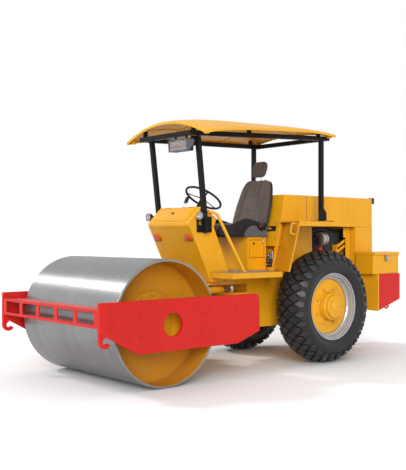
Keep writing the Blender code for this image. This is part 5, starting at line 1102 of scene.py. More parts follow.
COVER = curve_through([
    (0.030, 1.428), (0.032, 1.470), (0.075, 1.520), (0.135, 1.556), (0.205, 1.552), (0.245, 1.500), (0.285, 1.486),
    (0.320, 1.505), (0.365, 1.505), (0.380, 1.470), (0.380, 1.428),
])
SKIRT_TOP = [
    (-0.335, 1.505), (-0.325, 1.545), (-0.26, 1.553), (-0.17, 1.552), (-0.08, 1.585), (0.00, 1.618), (0.07, 1.632),
    (0.16, 1.620), (0.27, 1.592), (0.33, 1.56), (0.345, 1.50),
]
SKIRT = curve_through([(-0.315, 1.442), (-0.335, 1.460)] + SKIRT_TOP + [(0.335, 1.455), (0.30, 1.442)])
for side_name, side in SIDES:
    work = bmesh.new()
    add_panel(work, COVER, side * 0.262, side * 0.286)
    rounded(piece("seat_cover_" + side_name, work, "rear_unit", "cover_grey"), 0.007, 4)
    work = bmesh.new()
    add_panel(work, SKIRT, side * 0.232, side * 0.263)
    rounded(piece("seat_skirt_" + side_name, work, "rear_unit", "vinyl"), 0.009, 4)
    work = bmesh.new()
    line = [(side * 0.2565, y, z + 0.0015) for y, z in curve_through(SKIRT_TOP[:9])]
    add_tube(work, line, 0.0035, 10)
    piece("seat_piping_" + side_name, work, "rear_unit", "piping")
    work = bmesh.new()
    knob = Vector((side * 0.262, 0.275, 1.536))
    add_rod(work, knob, knob + Vector((side * 0.030, 0, 0)), 0.031, 36, 0.006)
    add_rod(work, knob + Vector((side * 0.02, 0.008, 0.0)), knob + Vector((side * 0.024, 0.062, 0.045)), 0.013, 20, 0.004)
    piece("recliner_" + side_name, work, "rear_unit", "plastic")
work = bmesh.new()
add_rod(work, (0.2915, 0.258, 1.540), (0.2945, 0.276, 1.562), 0.0055, 12, 0.002)
piece("recliner_lever", work, "rear_unit", "filter_red")


# %% Pads blown up by cloth
def blown(made, voxel, held, cap):
    """Swells a pad with Cloth's pressure, held where `held` says, and keeps the shape it reaches."""
    scene.frame_set(1)
    skin = made.modifiers.new("even_skin", "REMESH")
    skin.mode = "VOXEL"
    skin.voxel_size = voxel
    mesh = bpy.data.meshes.new_from_object(made.evaluated_get(bpy.context.evaluated_depsgraph_get()))
    made.modifiers.remove(skin)
    for slot in made.data.materials:
        if slot.name not in mesh.materials:
            mesh.materials.append(slot)
    made.data = mesh
    rest = [vertex.co.copy() for vertex in mesh.vertices]
    group = made.vertex_groups.new(name="held")
    group.add([index for index, point in enumerate(rest) if held(point)], 1.0, "REPLACE")
    cloth = made.modifiers.new("blown_up", "CLOTH")
    cloth.settings.quality = 4
    cloth.settings.mass = 0.3
    cloth.settings.use_pressure = True
    cloth.settings.uniform_pressure_force = 4.0
    cloth.settings.vertex_group_mass = "held"
    cloth.settings.effector_weights.gravity = 0.0
    cloth.point_cache.frame_start = 1
    cloth.point_cache.frame_end = 20
    for step in range(1, 21):
        scene.frame_set(step)
    swollen = made.evaluated_get(bpy.context.evaluated_depsgraph_get()).to_mesh()
    moves = [vertex.co - point for vertex, point in zip(swollen.vertices, rest)]
    made.modifiers.remove(cloth)
    for vertex, point, move in zip(mesh.vertices, rest, moves):
        vertex.co = point + move * min(1.0, cap / max(move.length, 1e-6))
    scene.frame_set(1)
    mesh.shade_smooth()
    finer = made.modifiers.new("finer", "SUBSURF")
    finer.levels = 1
    finer.render_levels = 1
    return made


def surface_of(made):
    """A search tree over a pad's final surface."""
    return BVHTree.FromObject(made, bpy.context.evaluated_depsgraph_get())


def seam_line(work, tree, points, way, radius):
    """A cord laid on a surface, found by looking along a direction from each point."""
    found = []
    for point in smooth_path(points, 3):
        hit = tree.ray_cast(Vector(point), Vector(way))[0]
        if hit:
            found.append(hit)
    if len(found) > 2:
        add_tube(work, found, radius, 8)


cushion_low, cushion_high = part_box("seat_cushion")
PAD_HALF = cushion_high.x - 0.012
PAD_FRONT, PAD_REAR = cushion_low.y - 0.01, cushion_high.y + 0.03
PAD_FLOOR = cushion_low.z + 0.004


def pad_ring(y, half, low, high, sag):
    """A cross-section of the seat cushion: flat below, crowned above, with raised sides."""
    ring = []
    for k in range(24):
        angle = 2 * math.pi * (k + 0.5) / 24
        x = half * squared(math.cos(angle), 0.45)
        share = squared(math.sin(angle), 0.55)
        z = (low + high) / 2 + (high - low) / 2 * share
        if share > 0:
            z += 0.014 * min(max((abs(x) / half - 0.62) / 0.3, 0.0), 1.0) - sag * (1 - (x / half) ** 2)
        ring.append((x, y, z))
    return ring


def lofted(work, rings):
    """Skins closed rings of equal count and closes both ends."""
    join_rings(work, [[work.verts.new(point) for point in ring] for ring in rings], ends=True)


SECTIONS = (  # share of the length, share of the width, foot and top above the base, sag of the middle
    (0.00, 0.86, 0.020, 0.052, 0.0), (0.03, 0.94, 0.006, 0.074, 0.0), (0.10, 0.99, 0.0, 0.092, 0.002),
    (0.25, 1.00, 0.0, 0.096, 0.006), (0.50, 1.00, 0.0, 0.090, 0.010), (0.75, 1.00, 0.0, 0.088, 0.010),
    (0.95, 0.97, 0.0, 0.086, 0.006), (1.00, 0.92, 0.012, 0.070, 0.0),
)
work = bmesh.new()
lofted(work, [
    pad_ring(PAD_FRONT + (PAD_REAR - PAD_FRONT) * along, (PAD_HALF - 0.012) * wide, PAD_FLOOR + low,
             PAD_FLOOR + high, sag)
    for along, wide, low, high, sag in SECTIONS
])
cushion = piece("seat_cushion_cloth", work, "rear_unit", "cloth", "seat_cushion")
SEAM_X = PAD_HALF * 0.60
cushion_seams = [
    [(side * SEAM_X, PAD_FRONT + 0.03, 1.75), (side * SEAM_X, PAD_REAR - 0.06, 1.75)] for side in (1, -1)
] + [[(-SEAM_X, y, 1.75), (0, y - 0.006, 1.75), (SEAM_X, y, 1.75)] for y in (PAD_FRONT + 0.13, PAD_FRONT + 0.29)]


def near_cushion_seam(point):
    """Whether a point of the cushion lies on a seam, an edge cord or the base."""
    if point.z < PAD_FLOOR + 0.020:
        return True
    if abs(abs(point.x) - SEAM_X) < 0.004:
        return True
    return abs(point.x) < SEAM_X and min(abs(point.y - PAD_FRONT - 0.13), abs(point.y - PAD_FRONT - 0.29)) < 0.004


blown(cushion, 0.006, near_cushion_seam, 0.022)
tree = surface_of(cushion)
work = bmesh.new()
for line in cushion_seams:
    seam_line(work, tree, line, (0, 0, -1), 0.0018)
piece("cushion_seams", work, "rear_unit", "piping")

back_low, back_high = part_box("seat_back")
BACK_TILT = math.radians(16)
back_up = Vector((0, math.sin(BACK_TILT), math.cos(BACK_TILT)))
back_front = Vector((0, -math.cos(BACK_TILT), math.sin(BACK_TILT)))
BACK_LENGTH = 0.640
BACK_THICK = 0.140
BACK_HALF = back_high.x
back_middle = (back_low + back_high) / 2
back_foot = back_middle - back_up * (BACK_LENGTH / 2) - back_front * (BACK_THICK / 2)


def on_seat_back(x, up, out):
    """A point of the seat back: across it, up it, and forward from its rear face."""
    return back_foot + Vector((x, 0, 0)) + back_up * up + back_front * out


OUTLINE = (  # share of the length, of the width and of the thickness
    (0.00, 0.78, 0.70), (0.03, 0.88, 0.90), (0.10, 0.97, 1.00), (0.22, 1.03, 1.00), (0.36, 1.04, 0.98),
    (0.50, 1.02, 0.94), (0.64, 0.97, 0.90), (0.76, 0.91, 0.86), (0.86, 0.84, 0.80), (0.93, 0.76, 0.72),
    (0.975, 0.66, 0.60), (1.00, 0.50, 0.42),
)


def back_ring(along, wide, thick, half, depth, rear, bolster):
    """A cross-section of the seat back, its sides standing forward of the middle."""
    ring = []
    for k in range(28):
        angle = 2 * math.pi * (k + 0.5) / 28
        x = half * wide * squared(math.cos(angle), 0.55)
        share = squared(math.sin(angle), 0.6)
        out = rear + depth * thick * (0.5 + 0.5 * share)
        if share > 0:
            out += bolster * (min(max((abs(x) / (half * wide) - 0.60) / 0.30, 0.0), 1.0) - 0.5)
        ring.append(on_seat_back(x, BACK_LENGTH * along, out))
    return ring


work = bmesh.new()
lofted(work, [back_ring(*row, BACK_HALF - 0.010, BACK_THICK - 0.028, 0.016, 0.026) for row in OUTLINE])
back = piece("seat_back_cloth", work, "rear_unit", "cloth", "seat_back")


def back_place(point):
    """How far across, up and out a point of the seat back lies."""
    from_foot = point - back_foot
    return from_foot.x, from_foot.dot(back_up), from_foot.dot(back_front)


def back_seam_x(up):
    """The vertical seams draw together towards the shoulders."""
    return 0.150 - 0.052 * (up / BACK_LENGTH)


BACK_SEAMS = (0.245, 0.425)


def near_back_seam(point):
    """Whether a point of the seat back lies on a seam or on its rear."""
    x, up, out = back_place(point)
    if out < 0.045:
        return True
    if abs(abs(x) - back_seam_x(up)) < 0.0045:
        return True
    return abs(x) < back_seam_x(up) and min(abs(up - seam) for seam in BACK_SEAMS) < 0.0045


blown(back, 0.006, near_back_seam, 0.024)
tree = surface_of(back)
work = bmesh.new()
for side in (1, -1):
    line = [on_seat_back(side * back_seam_x(up), up, 0.4) for up in (0.05, 0.2, 0.35, 0.5, 0.60)]
    seam_line(work, tree, line, -back_front, 0.0018)
for up in BACK_SEAMS:
    line = [on_seat_back(x * back_seam_x(up), up, 0.4) for x in (-1, -0.5, 0, 0.5, 1)]
    seam_line(work, tree, line, -back_front, 0.0018)
piece("seat_back_seams", work, "rear_unit", "piping")
work = bmesh.new()
lofted(work, [back_ring(along, wide * 1.012, thick, BACK_HALF, 0.058, 0.0, 0.0)
              for along, wide, thick in OUTLINE])
piece("seat_back_shell", work, "rear_unit", "vinyl").data.shade_smooth()

HEAD_HALF, HEAD_TALL, HEAD_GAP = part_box("headrest")[1].x * 1.16, 0.195, 0.033
HEAD_SECTIONS = ((0.0, 0.60, 0.55), (0.06, 0.80, 0.80), (0.2, 0.92, 0.96), (0.5, 1.0, 1.0), (0.75, 0.98, 0.94),
                 (0.92, 0.86, 0.78), (1.0, 0.62, 0.5))
head_middle = back_middle + back_up * (BACK_LENGTH / 2 + HEAD_GAP + HEAD_TALL / 2)
work = bmesh.new()
rings = []
for along, wide, thick in HEAD_SECTIONS:
    ring = []
    for k in range(24):
        angle = 2 * math.pi * (k + 0.5) / 24
        x = (HEAD_HALF - 0.004) * wide * squared(math.cos(angle), 0.6)
        out = 0.045 * thick * squared(math.sin(angle), 0.6)
        out += 0.010 * (x / HEAD_HALF) ** 2
        up = (HEAD_TALL - 0.012) * (along - 0.5)
        ring.append(head_middle + Vector((x, 0, 0)) + back_up * up + back_front * out)
    rings.append(ring)
lofted(work, rings)
head = piece("headrest_cloth", work, "rear_unit", "cloth", "headrest")


def near_head_seam(point):
    """Whether a point of the headrest lies on its side seams."""
    return abs(abs(point.x) - HEAD_HALF * 0.72) < 0.0035


blown(head, 0.005, near_head_seam, 0.014)
tree = surface_of(head)
work = bmesh.new()
for side in (1, -1):
    line = [head_middle + Vector((side * HEAD_HALF * 0.72, 0, 0)) + back_up * up + back_front * 0.3
            for up in (-0.07, -0.03, 0.03, 0.07)]
    seam_line(work, tree, line, -back_front, 0.0015)
piece("headrest_seams", work, "rear_unit", "piping")
work = bmesh.new()
for x in (-0.045, 0.045):
    rod_foot = on_seat_back(x, BACK_LENGTH * 0.93, BACK_THICK * 0.42)
    add_rod(work, rod_foot, head_middle + Vector((x, 0, 0)) - back_up * 0.05, 0.0055, 16)
piece("headrest_rods", work, "rear_unit", "steel")
work = bmesh.new()
for x in (-0.045, 0.045):
    collar = on_seat_back(x, BACK_LENGTH * 0.985, BACK_THICK * 0.42)
    add_rod(work, collar - back_up * 0.02, collar + back_up * 0.008, 0.011, 20, 0.002)
piece("headrest_collars", work, "rear_unit", "plastic")
print("pads:", [len(made.data.vertices) for made in (cushion, back, head)])

# %% [markdown]
# ## Cowl, fenders and grab handles
# The cowl's face leans back. Its hole for the hydraulic lines is a thin black plate on the face, painted
# shade, with a fitting through it, and it has a niche with the valve block. The fenders are folded plate,
# rounded along every fold, and each front panel carries a grab handle, which is one tube along a rounded path.

# %% Cowl, valves and fenders
softened("cowl", "rear_unit", "yellow", 0.004)
cowl_out = Vector((0, -0.979, 0.204))


def on_cowl(x, z, out=0.0):
    """A point on the cowl's leaning face, at a height, and out of it."""
    return Vector((x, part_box("cowl")[0].y + 0.2081 * (z - 1.05), z)) + cowl_out * out


def add_plate(work, corners, out, thickness):
    """A flat plate from its corners, thickened along a direction."""
    rings = [[work.verts.new(Vector(point) + Vector(out) * height) for point in corners]
             for height in (0.0, thickness)]
    join_rings(work, rings, ends=True)


# Painted shade: a thin black plate on the cowl's face stands for the dark hole of the hydraulic lines.
work = bmesh.new()
add_plate(work, [on_cowl(x, z) for x, z in ((0.195, 1.494), (0.318, 1.494), (0.318, 1.552), (0.195, 1.552))],
          cowl_out, 0.006)
rounded(piece("cowl_hole_shade_plate", work, "rear_unit", "hose"), 0.002, 2)
work = bmesh.new()
add_rod(work, on_cowl(0.245, 1.517, 0.004), on_cowl(0.245, 1.517, 0.040), 0.0115, 24, 0.001)
add_rod(work, on_cowl(0.245, 1.517, 0.018), on_cowl(0.245, 1.517, 0.030), 0.0165, 6, 0.001)
add_rod(work, on_cowl(0.245, 1.517, 0.034), on_cowl(0.200, 1.510, 0.046), 0.012, 20, 0.002)
add_rod(work, on_cowl(0.218, 1.512, 0.042), on_cowl(0.206, 1.510, 0.045), 0.0165, 6, 0.001)
piece("cowl_fitting", work, "rear_unit", "brass")
work = bmesh.new()
for x, z in ((0.303, 1.587), (0.335, 1.575), (0.329, 1.42), (0.12, 1.40), (0.12, 1.58), (-0.30, 1.42), (-0.30, 1.58)):
    add_bolt(work, on_cowl(x, z), cowl_out, 0.007, 0.005)
piece("cowl_bolts", work, "rear_unit", "alloy")

softened("valve_block", "rear_unit", "alloy", 0.003)
valve_low, valve_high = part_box("valve_block")
work = bmesh.new()
hoses = bmesh.new()
for row in range(4):
    z = valve_low.z + 0.025 + 0.043 * row
    for column, x in enumerate((valve_low.x + 0.026, valve_high.x - 0.026)):
        start = Vector((x, valve_low.y, z))
        add_rod(work, start, start + Vector((0, -0.010, 0)), 0.0135, 6, 0.001)
        add_rod(work, start + Vector((0, -0.009, 0)), start + Vector((0, -0.022, 0)), 0.0085, 16, 0.001)
        if (row + column) % 2:
            reach = start + Vector((0, -0.020, 0))
            floor_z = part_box("deck")[1].z + 0.004
            turn = Vector((0.035 if column else -0.035, -0.024, 0))
            path = [reach, reach + Vector((0, -0.024, 0)), reach + turn, reach + turn + Vector((0, 0.02, -0.05)),
                    Vector((x + turn.x, valve_low.y - 0.002, floor_z))]
            add_tube(hoses, smooth_path(path, 3), 0.0075, 12)
middle = (valve_low + valve_high) / 2
for z, reach in ((valve_low.z, -0.018), (valve_high.z, 0.018)):
    foot = Vector((middle.x - 0.02, middle.y, z))
    add_rod(work, foot, foot + Vector((0, 0, reach)), 0.012, 6, 0.001)
piece("valve_fittings", work, "rear_unit", "brass")
piece("valve_hoses", hoses, "rear_unit", "hose")

for side_name, side in SIDES:
    softened("fender_" + side_name, "rear_unit", "yellow", 0.005, 3)
    work = bmesh.new()
    out = Vector((side * -0.46, -0.85, 0.26)).normalized()
    low, high = Vector((side * 0.786, 0.300, 1.452)), Vector((side * 0.770, 0.343, 1.568))
    bend = (high - low) * 0.12
    path = [low, low + out * 0.050, low + out * 0.052 + bend, high + out * 0.052 - bend, high + out * 0.050, high]
    add_tube(work, smooth_path(path, 3), 0.0085, 16)
    for at in (low, high):
        add_rod(work, at - out * 0.002, at + out * 0.006, 0.016, 20, 0.001)
    piece("grab_handle_" + side_name, work, "rear_unit", "yellow")
    work = bmesh.new()
    for y in (0.52, 0.80, 1.06):
        add_bolt(work, (side * 0.79, y, 1.6), (0, 0, 1), 0.008, 0.006)
    piece("fender_bolts_" + side_name, work, "rear_unit", "yellow")
print("cowl and fenders made")

# %% [markdown]
# ## The canopy
# The roof is one sheet that arches both ways and droops to its corners. The same formula as the
# source's gives its height, here on a finer grid, with a rolled lip and folded seams below. Rails and
# posts keep their CAD form with rounded edges and get their bolts.

# %% Posts, rails and roof
for side_name, side in SIDES:
    for end in ("front_post_", "rear_post_"):
        softened(end + side_name, "rear_unit", "black", 0.003)
    low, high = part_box("rear_post_" + side_name)
    work = bmesh.new()
    for x in (0.492, 0.638):
        for y in (low.y + 0.03, high.y - 0.03):
            add_bolt(work, (side * x, y, 1.6083), (0, 0, 1), 0.009, 0.007)
    for y, z in ((-0.57, 1.50), (-0.57, 1.61), (-0.62, 1.50), (-0.70, 1.495)):
        add_bolt(work, (side * 0.3723, y, z), (side, 0, 0), 0.0075, 0.006)
    piece("post_bolts_" + side_name, work, "rear_unit", "black")
softened("canopy_rails", "rear_unit", "black", 0.003)
roof_low, roof_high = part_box("canopy_roof")
ROOF_SKIN = 0.012


def roof_z(x, y):
    """The height of the roof's upper surface."""
    share = (y - roof_low.y) / (roof_high.y - roof_low.y)
    corner = 2.495 + 0.115 * share
    return corner + 0.16 * (1 - (x / roof_high.x) ** 2) * (1 - 0.5 * share) + 0.05 * (1 - (2 * share - 1) ** 4)


CELLS_X, CELLS_Y = 40, 56
work = bmesh.new()
sheets = []
for under in (0, 1):
    rows = []
    for row in range(CELLS_Y + 1):
        y = roof_low.y + (roof_high.y - roof_low.y) * row / CELLS_Y
        line = []
        for column in range(CELLS_X + 1):
            x = roof_high.x * (2 * column / CELLS_X - 1)
            line.append(work.verts.new((x, y, roof_z(x, y) - under * ROOF_SKIN)))
        rows.append(line)
    sheets.append(rows)
    for first, second in zip(rows, rows[1:]):
        for k in range(CELLS_X):
            work.faces.new((first[k], first[k + 1], second[k + 1], second[k]))
join_rings(work, [
    rows[0] + [row[-1] for row in rows[1:]] + rows[-1][-2::-1] + [row[0] for row in rows[-2:0:-1]]
    for rows in sheets
])
rounded(piece("canopy_roof_sheet", work, "rear_unit", "yellow_cover", "canopy_roof"), 0.004, 3, 60)

work = bmesh.new()
roof_length = roof_high.y - roof_low.y
edge = [(roof_high.x * (2 * k / 24 - 1), roof_low.y) for k in range(25)]
edge += [(roof_high.x, roof_low.y + roof_length * k / 32) for k in range(1, 33)]
edge += [(roof_high.x * (1 - 2 * k / 24), roof_high.y) for k in range(1, 25)]
edge += [(-roof_high.x, roof_high.y - roof_length * k / 32) for k in range(1, 32)]
middle_y = (roof_low.y + roof_high.y) / 2
rings = []
for x, y in edge:
    inside = (x * 0.986, middle_y + (y - middle_y) * 0.990)
    outside = (x * 0.999, middle_y + (y - middle_y) * 0.999)
    z = roof_z(x, y) - ROOF_SKIN
    section = ((outside, 0.003), (outside, -0.016), (inside, -0.016), (inside, 0.003))
    rings.append([work.verts.new((*place, z + rise)) for place, rise in section])
join_rings(work, rings, closed=True)
piece("canopy_roof_lip", work, "rear_unit", "yellow_cover")
work = bmesh.new()
lines = [[(x, roof_low.y + 0.02 + (roof_length - 0.04) * k / 24) for k in range(25)] for x in (-0.40, 0.0, 0.40)]
lines += [[(roof_high.x * (2 * k / 24 - 1) * 0.97, y) for k in range(25)]
          for y in (roof_low.y + 0.55, roof_high.y - 0.55)]
for line in lines:
    add_tube(work, [(x, y, roof_z(x, y) - ROOF_SKIN - 0.002) for x, y in line], 0.006, 8)
piece("canopy_roof_seams", work, "rear_unit", "yellow_cover")
standoffs = []
for side in (1, -1):
    for y in (roof_low.y + 0.06, roof_high.y - 0.06):
        x = side * (roof_high.x - 0.05)
        top = roof_z(x, y) - ROOF_SKIN
        standoffs.append(((x - 0.020, y - 0.022, top - 0.045), (x + 0.020, y + 0.022, top)))
boxes("canopy_standoffs", "rear_unit", "yellow_cover", standoffs, 0.002, 2)

# %% [markdown]
# ## Lamps
# A headlamp is a turned bowl with a steel ring and a shallow glass dome. The roof lamp is a moulded
# box under a visor, with a fluted lens. The flutes are real ridges, because a bump alone looks flat.

# %% Lamps
BOWL = ((0.070, 0), (0.070, 0.016), (0.062, 0.027), (0.045, 0.037), (0.022, 0.0435), (0.004, 0.0450),
        (0.0, 0.0440), (0.0, 0.0405), (0.012, 0.0395), (0.024, 0.034), (0.036, 0.020), (0.038, 0.0))
BEZEL = ((-0.002, 0.0398), (-0.004, 0.0415), (-0.003, 0.0445), (0.002, 0.0455), (0.007, 0.0452),
         (0.007, 0.0440), (0.001, 0.0440), (0.0, 0.0398))
MIRROR = ((0.014, 0.0385), (0.026, 0.032), (0.034, 0.018), (0.036, 0.0))
GLASS = ((-0.0005, 0.0400), (-0.003, 0.036), (-0.0065, 0.024), (-0.0085, 0.010), (-0.009, 0.0))
for side_name, side in SIDES:
    low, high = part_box("head_lamp_" + side_name)
    at = Vector((side * 0.45, low.y, 1.645))
    back = Vector((0, 1, 0))
    work = bmesh.new()
    add_turned(work, BOWL, at, back, 48)
    add_box(work, (side * 0.435 - 0.011, high.y - 0.028, 1.604), (side * 0.435 + 0.011, high.y - 0.006, 1.62))
    bracket = sorted((side * 0.3726, side * 0.462))
    add_box(work, (bracket[0], high.y - 0.026, 1.604), (bracket[1], high.y - 0.004, 1.609))
    piece("head_lamp_bowl_" + side_name, work, "rear_unit", "black", "head_lamp_" + side_name)
    work = bmesh.new()
    add_turned(work, BEZEL, at, back, 48, closed=True)
    piece("head_lamp_ring_" + side_name, work, "rear_unit", "steel")
    for part, profile, finish in (("mirror", MIRROR, "steel"), ("glass", GLASS, "clear")):
        work = bmesh.new()
        add_turned(work, profile, at, back, 40)
        piece("head_lamp_" + part + "_" + side_name, work, "rear_unit", finish)
    softened("indicator_" + side_name, "rear_unit", "amber", 0.0015)
    low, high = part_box("indicator_" + side_name)
    corners = (low.x - 0.005, high.y - 0.010, low.z - 0.003), (high.x + 0.005, high.y + 0.003, high.z + 0.003)
    boxes("indicator_base_" + side_name, "rear_unit", "plastic", [corners], 0.002, 2)

low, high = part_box("roof_lamp")
body_top = high.z - 0.035
corners = [((low.x, low.y + 0.014, low.z), (high.x, high.y, body_top))]
corners += [((x - 0.012, low.y + 0.038, body_top - 0.002), (x + 0.012, low.y + 0.062, high.z))
            for x in (low.x + 0.06, high.x - 0.06)]
boxes("roof_lamp_body", "rear_unit", "plastic", corners, 0.006, 3, "roof_lamp")
work = bmesh.new()
visor_front, visor_rear, visor_top = low.y - 0.006, high.y + 0.004, body_top + 0.004
visor_foot = low.z - 0.002
cheek = [(low.y + 0.030, visor_foot), (low.y + 0.004, visor_foot), (visor_front, visor_top),
         (visor_rear, visor_top), (visor_rear, body_top - 0.04)]
for x in (low.x - 0.003, high.x - 0.004):
    add_panel(work, cheek, x, x + 0.007)
brow = [(visor_front, body_top - 0.004), (visor_front, visor_top), (visor_rear, visor_top), (visor_rear, body_top)]
chin = [(low.y + 0.004, visor_foot), (low.y + 0.003, low.z + 0.007), (low.y + 0.020, low.z + 0.007),
        (low.y + 0.020, visor_foot)]
for outline in (brow, chin):
    add_panel(work, outline, low.x - 0.003, high.x + 0.003)
rounded(piece("roof_lamp_visor", work, "rear_unit", "cover_grey"), 0.0015, 2)
work = bmesh.new()
FLUTES = 30
lens_width = high.x - low.x - 0.016
for k in range(FLUTES):
    x = low.x + 0.008 + lens_width * (k + 0.5) / FLUTES
    add_rod(work, (x, low.y + 0.013, low.z + 0.008), (x, low.y + 0.013, body_top - 0.006),
            lens_width / FLUTES * 0.5, 10)
piece("roof_lamp_lens", work, "rear_unit", "clear")
strip = (low.x + 0.010, low.y + 0.004, low.z + 0.046), (high.x - 0.010, low.y + 0.012, low.z + 0.054)
boxes("roof_lamp_amber", "rear_unit", "amber", [strip], 0.002, 2)

low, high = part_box("rear_lamp")
body = (low.x, low.y + 0.0185, low.z), (high.x, high.y - 0.004, high.z)
glass = (low.x + 0.006, high.y - 0.006, low.z + 0.006), (high.x - 0.006, high.y, high.z - 0.006)
arm = (low.x + 0.02, low.y - 0.0005, low.z + 0.018), (low.x + 0.055, low.y + 0.020, low.z + 0.044)
foot = (low.x + 0.01, low.y - 0.0005, low.z + 0.005), (low.x + 0.065, low.y + 0.003, low.z + 0.06)
boxes("rear_lamp_body", "hood", "plastic", [body], 0.004, 3, "rear_lamp")
boxes("rear_lamp_glass", "hood", "clear", [glass], 0.002, 2)
boxes("rear_lamp_bracket", "hood", "yellow", [arm, foot], 0.0015, 2)
print("lamps made")

# %% [markdown]
# ## Hood, engine and toolbox
# The hood and radiator housing keep their folded form with rounded edges, a seam and screws. Inside
# the arch shows the engine: a casting with a ribbed rocker cover, the alternator with its fan and
# belt, the filter, hoses and the radiator's core.

# %% Hood and radiator
softened("hood", "hood", "yellow", 0.006, 3)
softened("radiator_housing", "rear_unit", "yellow", 0.005, 3)
hood_low, hood_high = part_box("hood")
radiator_low, radiator_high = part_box("radiator_housing")
work = bmesh.new()
for side in (1, -1):
    for y in (hood_low.y + 0.03, hood_low.y + 0.42, hood_low.y + 0.82, hood_high.y - 0.03):
        add_bolt(work, (side * hood_high.x, y, hood_low.z + 0.028), (side, 0, 0), 0.007, 0.004)
piece("hood_screws", work, "hood", "yellow")
work = bmesh.new()
for side in (1, -1):
    for y in (radiator_low.y + 0.03, radiator_high.y - 0.03):
        for z in (1.50, 1.05):
            add_bolt(work, (side * radiator_high.x, y, z), (side, 0, 0), 0.008, 0.006)
piece("radiator_bolts", work, "rear_unit", "yellow")
work = bmesh.new()
core_y = radiator_low.y + 0.045
add_box(work, (-0.335, core_y, 1.005), (0.335, core_y + 0.05, 1.535))
for k in range(44):
    z = 1.012 + 0.0118 * k
    add_box(work, (-0.330, core_y - 0.004, z), (0.330, core_y, z + 0.005))
piece("radiator_core", work, "rear_unit", "cast")
work = bmesh.new()
fan_at = Vector((0, radiator_low.y - 0.03, 1.24))
add_rod(work, fan_at - Vector((0, 0.08, 0)), fan_at + Vector((0, 0.02, 0)), 0.045, 24, 0.004)
for way in around(6, first=0):
    wide = Vector((-way.z, 0, way.x))
    corners = [fan_at + way * 0.04 + wide * 0.02, fan_at + way * 0.21 + wide * 0.055 + Vector((0, 0.016, 0)),
               fan_at + way * 0.21 - wide * 0.035 - Vector((0, 0.016, 0)), fan_at + way * 0.04 - wide * 0.02]
    add_plate(work, corners, (0, 1, 0), 0.003)
piece("radiator_fan", work, "rear_unit", "yellow")

# %% Engine
softened("engine_block", "rear_unit", "cast", 0.006)
block_low, block_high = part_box("engine_block")
work = bmesh.new()
front_y, rear_y = block_low.y, block_high.y
add_box(work, (-0.145, front_y + 0.05, 1.498), (0.145, rear_y - 0.05, 1.535))
add_box(work, (-0.10, front_y + 0.08, 1.530), (0.10, rear_y - 0.08, 1.545))
for k in range(9):
    y = front_y + 0.10 + 0.07 * k
    add_box(work, (0.198, y, 0.98), (0.207, y + 0.012, 1.44))
    add_box(work, (-0.207, y, 0.98), (-0.198, y + 0.012, 1.44))
add_box(work, (0.198, front_y + 0.04, 1.445), (0.216, rear_y - 0.04, 1.47))
add_box(work, (0.198, front_y + 0.04, 0.93), (0.214, rear_y - 0.04, 0.965))
for k in range(7):
    add_bolt(work, (0.214, front_y + 0.08 + 0.095 * k, 1.457), (1, 0, 0), 0.008, 0.006)
rounded(piece("engine_ribs", work, "rear_unit", "cast"), 0.003, 2)
work = bmesh.new()
alternator_low, alternator_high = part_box("alternator")
middle = (alternator_low + alternator_high) / 2
radius = (alternator_high.z - alternator_low.z) / 2 - 0.008
casting = [(0, 0), (0, 0.035), (0.006, 0.05), (0.012, radius - 0.004), (0.030, radius), (0.050, radius),
           (0.052, radius - 0.005), (0.072, radius - 0.005), (0.074, radius), (0.098, radius),
           (0.112, radius - 0.006), (0.118, radius - 0.025), (0.120, 0)]
add_turned(work, casting, (middle.x + 0.012, alternator_low.y + 0.008, middle.z), (0, 1, 0), 40)
for way in around(16, first=0):
    start = Vector((middle.x + 0.012, alternator_low.y + 0.020, middle.z)) + way * (radius - 0.002)
    add_rod(work, start, start + Vector((0, 0.028, 0)), 0.0045, 8)
foot_y = alternator_low.y + 0.03
add_box(work, (0.2003, foot_y, middle.z - 0.02), (middle.x, foot_y + 0.04, middle.z + 0.02))
piece("alternator_casting", work, "rear_unit", "alloy", "alternator", crease=38)
work = bmesh.new()
pulley = Vector((middle.x + 0.012, alternator_high.y - 0.014, middle.z))
groove = [(0, 0), (0, 0.034), (0.004, 0.036), (0.010, 0.027), (0.016, 0.036), (0.020, 0.034), (0.020, 0)]
add_turned(work, groove, pulley, (0, 1, 0), 36)
piece("alternator_pulley", work, "rear_unit", "steel")
softened("oil_filter", "rear_unit", "filter_red", 0.004, 3)
filter_low, filter_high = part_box("oil_filter")
filter_at = (filter_low + filter_high) / 2
work = bmesh.new()
for way in around(14, first=0, second=1):
    at = Vector((filter_at.x + 0.006, filter_at.y, filter_low.z + 0.008)) + way * 0.0392
    add_rod(work, at, at + Vector((0, 0, 0.035)), 0.0028, 8)
piece("oil_filter_grip", work, "rear_unit", "filter_red")
work = bmesh.new()
for points, radius in (
    ([(0.24, 1.13, 1.46), (0.27, 1.20, 1.52), (0.28, 1.32, 1.525), (0.25, 1.42, 1.50)], 0.016),
    ([(0.22, 1.14, 1.30), (0.29, 1.15, 1.40), (0.29, 1.22, 1.42), (0.29, 1.26, 1.30), (0.24, 1.27, 1.16)], 0.008),
    ([(0.22, 1.30, 1.44), (0.27, 1.31, 1.36), (0.29, 1.36, 1.28), (0.26, 1.44, 1.24)], 0.010),
    ([(0.21, 1.10, 1.22), (0.29, 1.09, 1.18), (0.29, 1.07, 1.07), (0.23, 1.05, 0.99)], 0.011),
    ([(0.21, 1.16, 1.35), (0.27, 1.15, 1.30), (0.27, 1.18, 1.12), (0.22, 1.20, 1.00)], 0.008),
):
    add_tube(work, smooth_path(points, 3), radius, 14)
piece("engine_hoses", work, "rear_unit", "hose")
work = bmesh.new()
for rise in (0.0, -0.065):
    add_rod(work, (0.262, 1.60, 1.300 + rise), (0.262, 1.80, 1.400 + rise), 0.019, 20, 0.003)
add_box(work, (0.203, 1.595, 1.21), (0.262, 1.625, 1.33))
piece("engine_struts", work, "rear_unit", "yellow")

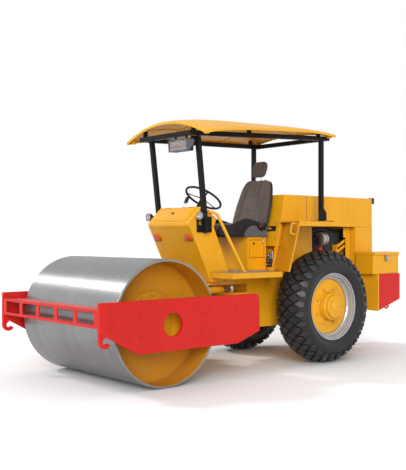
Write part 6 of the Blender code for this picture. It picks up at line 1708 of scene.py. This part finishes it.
# %% Toolbox and latch
softened("toolbox", "rear_unit", "yellow", 0.004)
softened("toolbox_lid", "toolbox_lid", "yellow", 0.004)
work = bmesh.new()
lid_low, lid_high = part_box("toolbox_lid")
face = max(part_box("toolbox")[1].x, lid_high.x) + 0.006
latch = Vector((face, 2.045, lid_low.z - 0.045))
for near, far, half, down, up in ((-0.008, 0.003, 0.026, 0.040, 0.026), (0.003, 0.014, 0.016, 0.028, 0.014)):
    add_box(work, latch + Vector((near, -half, -down)), latch + Vector((far, half, up)))
add_rod(work, latch + Vector((0.010, -0.022, -0.030)), latch + Vector((0.010, 0.022, -0.030)), 0.006, 12)
rounded(piece("toolbox_latch", work, "rear_unit", "steel"), 0.001, 2)
lip_foot, lip_top = lid_low.z - 0.010, lid_high.z - 0.002
boxes("toolbox_lid_lip", "toolbox_lid", "yellow", (
    ((face - 0.006, latch.y - 0.020, lid_low.z - 0.012), (face + 0.004, latch.y + 0.020, lid_high.z - 0.004)),
    ((face - 0.006, lid_low.y + 0.004, lip_foot), (face - 0.003, lid_high.y - 0.004, lip_top)),
    ((lid_low.x + 0.002, lid_low.y - 0.0045, lip_foot), (face - 0.003, lid_low.y - 0.0005, lip_top)),
), 0.001, 2)

# %% Plates round the engine bay
BAY_FLOOR, BAY_TOP = 0.991, 1.545
boxes("engine_bay_plates", "rear_unit", "yellow", (
    ((0.296, 0.950, BAY_FLOOR), (0.300, 1.110, BAY_TOP)), ((0.270, 1.1105, BAY_FLOOR), (0.300, 1.1145, BAY_TOP)),
    ((0.292, 1.740, BAY_FLOOR), (0.296, 1.8320, BAY_TOP)), ((0.292, 1.8325, BAY_FLOOR), (0.3745, 1.8365, BAY_TOP)),
    ((0.292, 1.700, 1.42), (0.296, 1.7395, BAY_TOP)),
), 0.0015, 2)
print("hood, engine and toolbox made")

# %% [markdown]
# ## Size
# The finished model is measured beside the CAD model, so a reader can see that the two agree.

# %% Measure and finish
low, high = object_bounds()
{"cad": [list(cad_low), list(cad_high)], "scene": [list(low), list(high)]}
print("CAD size:", [round(side, 3) for side in cad_high - cad_low])
print("scene size:", [round(side, 3) for side in high - low])
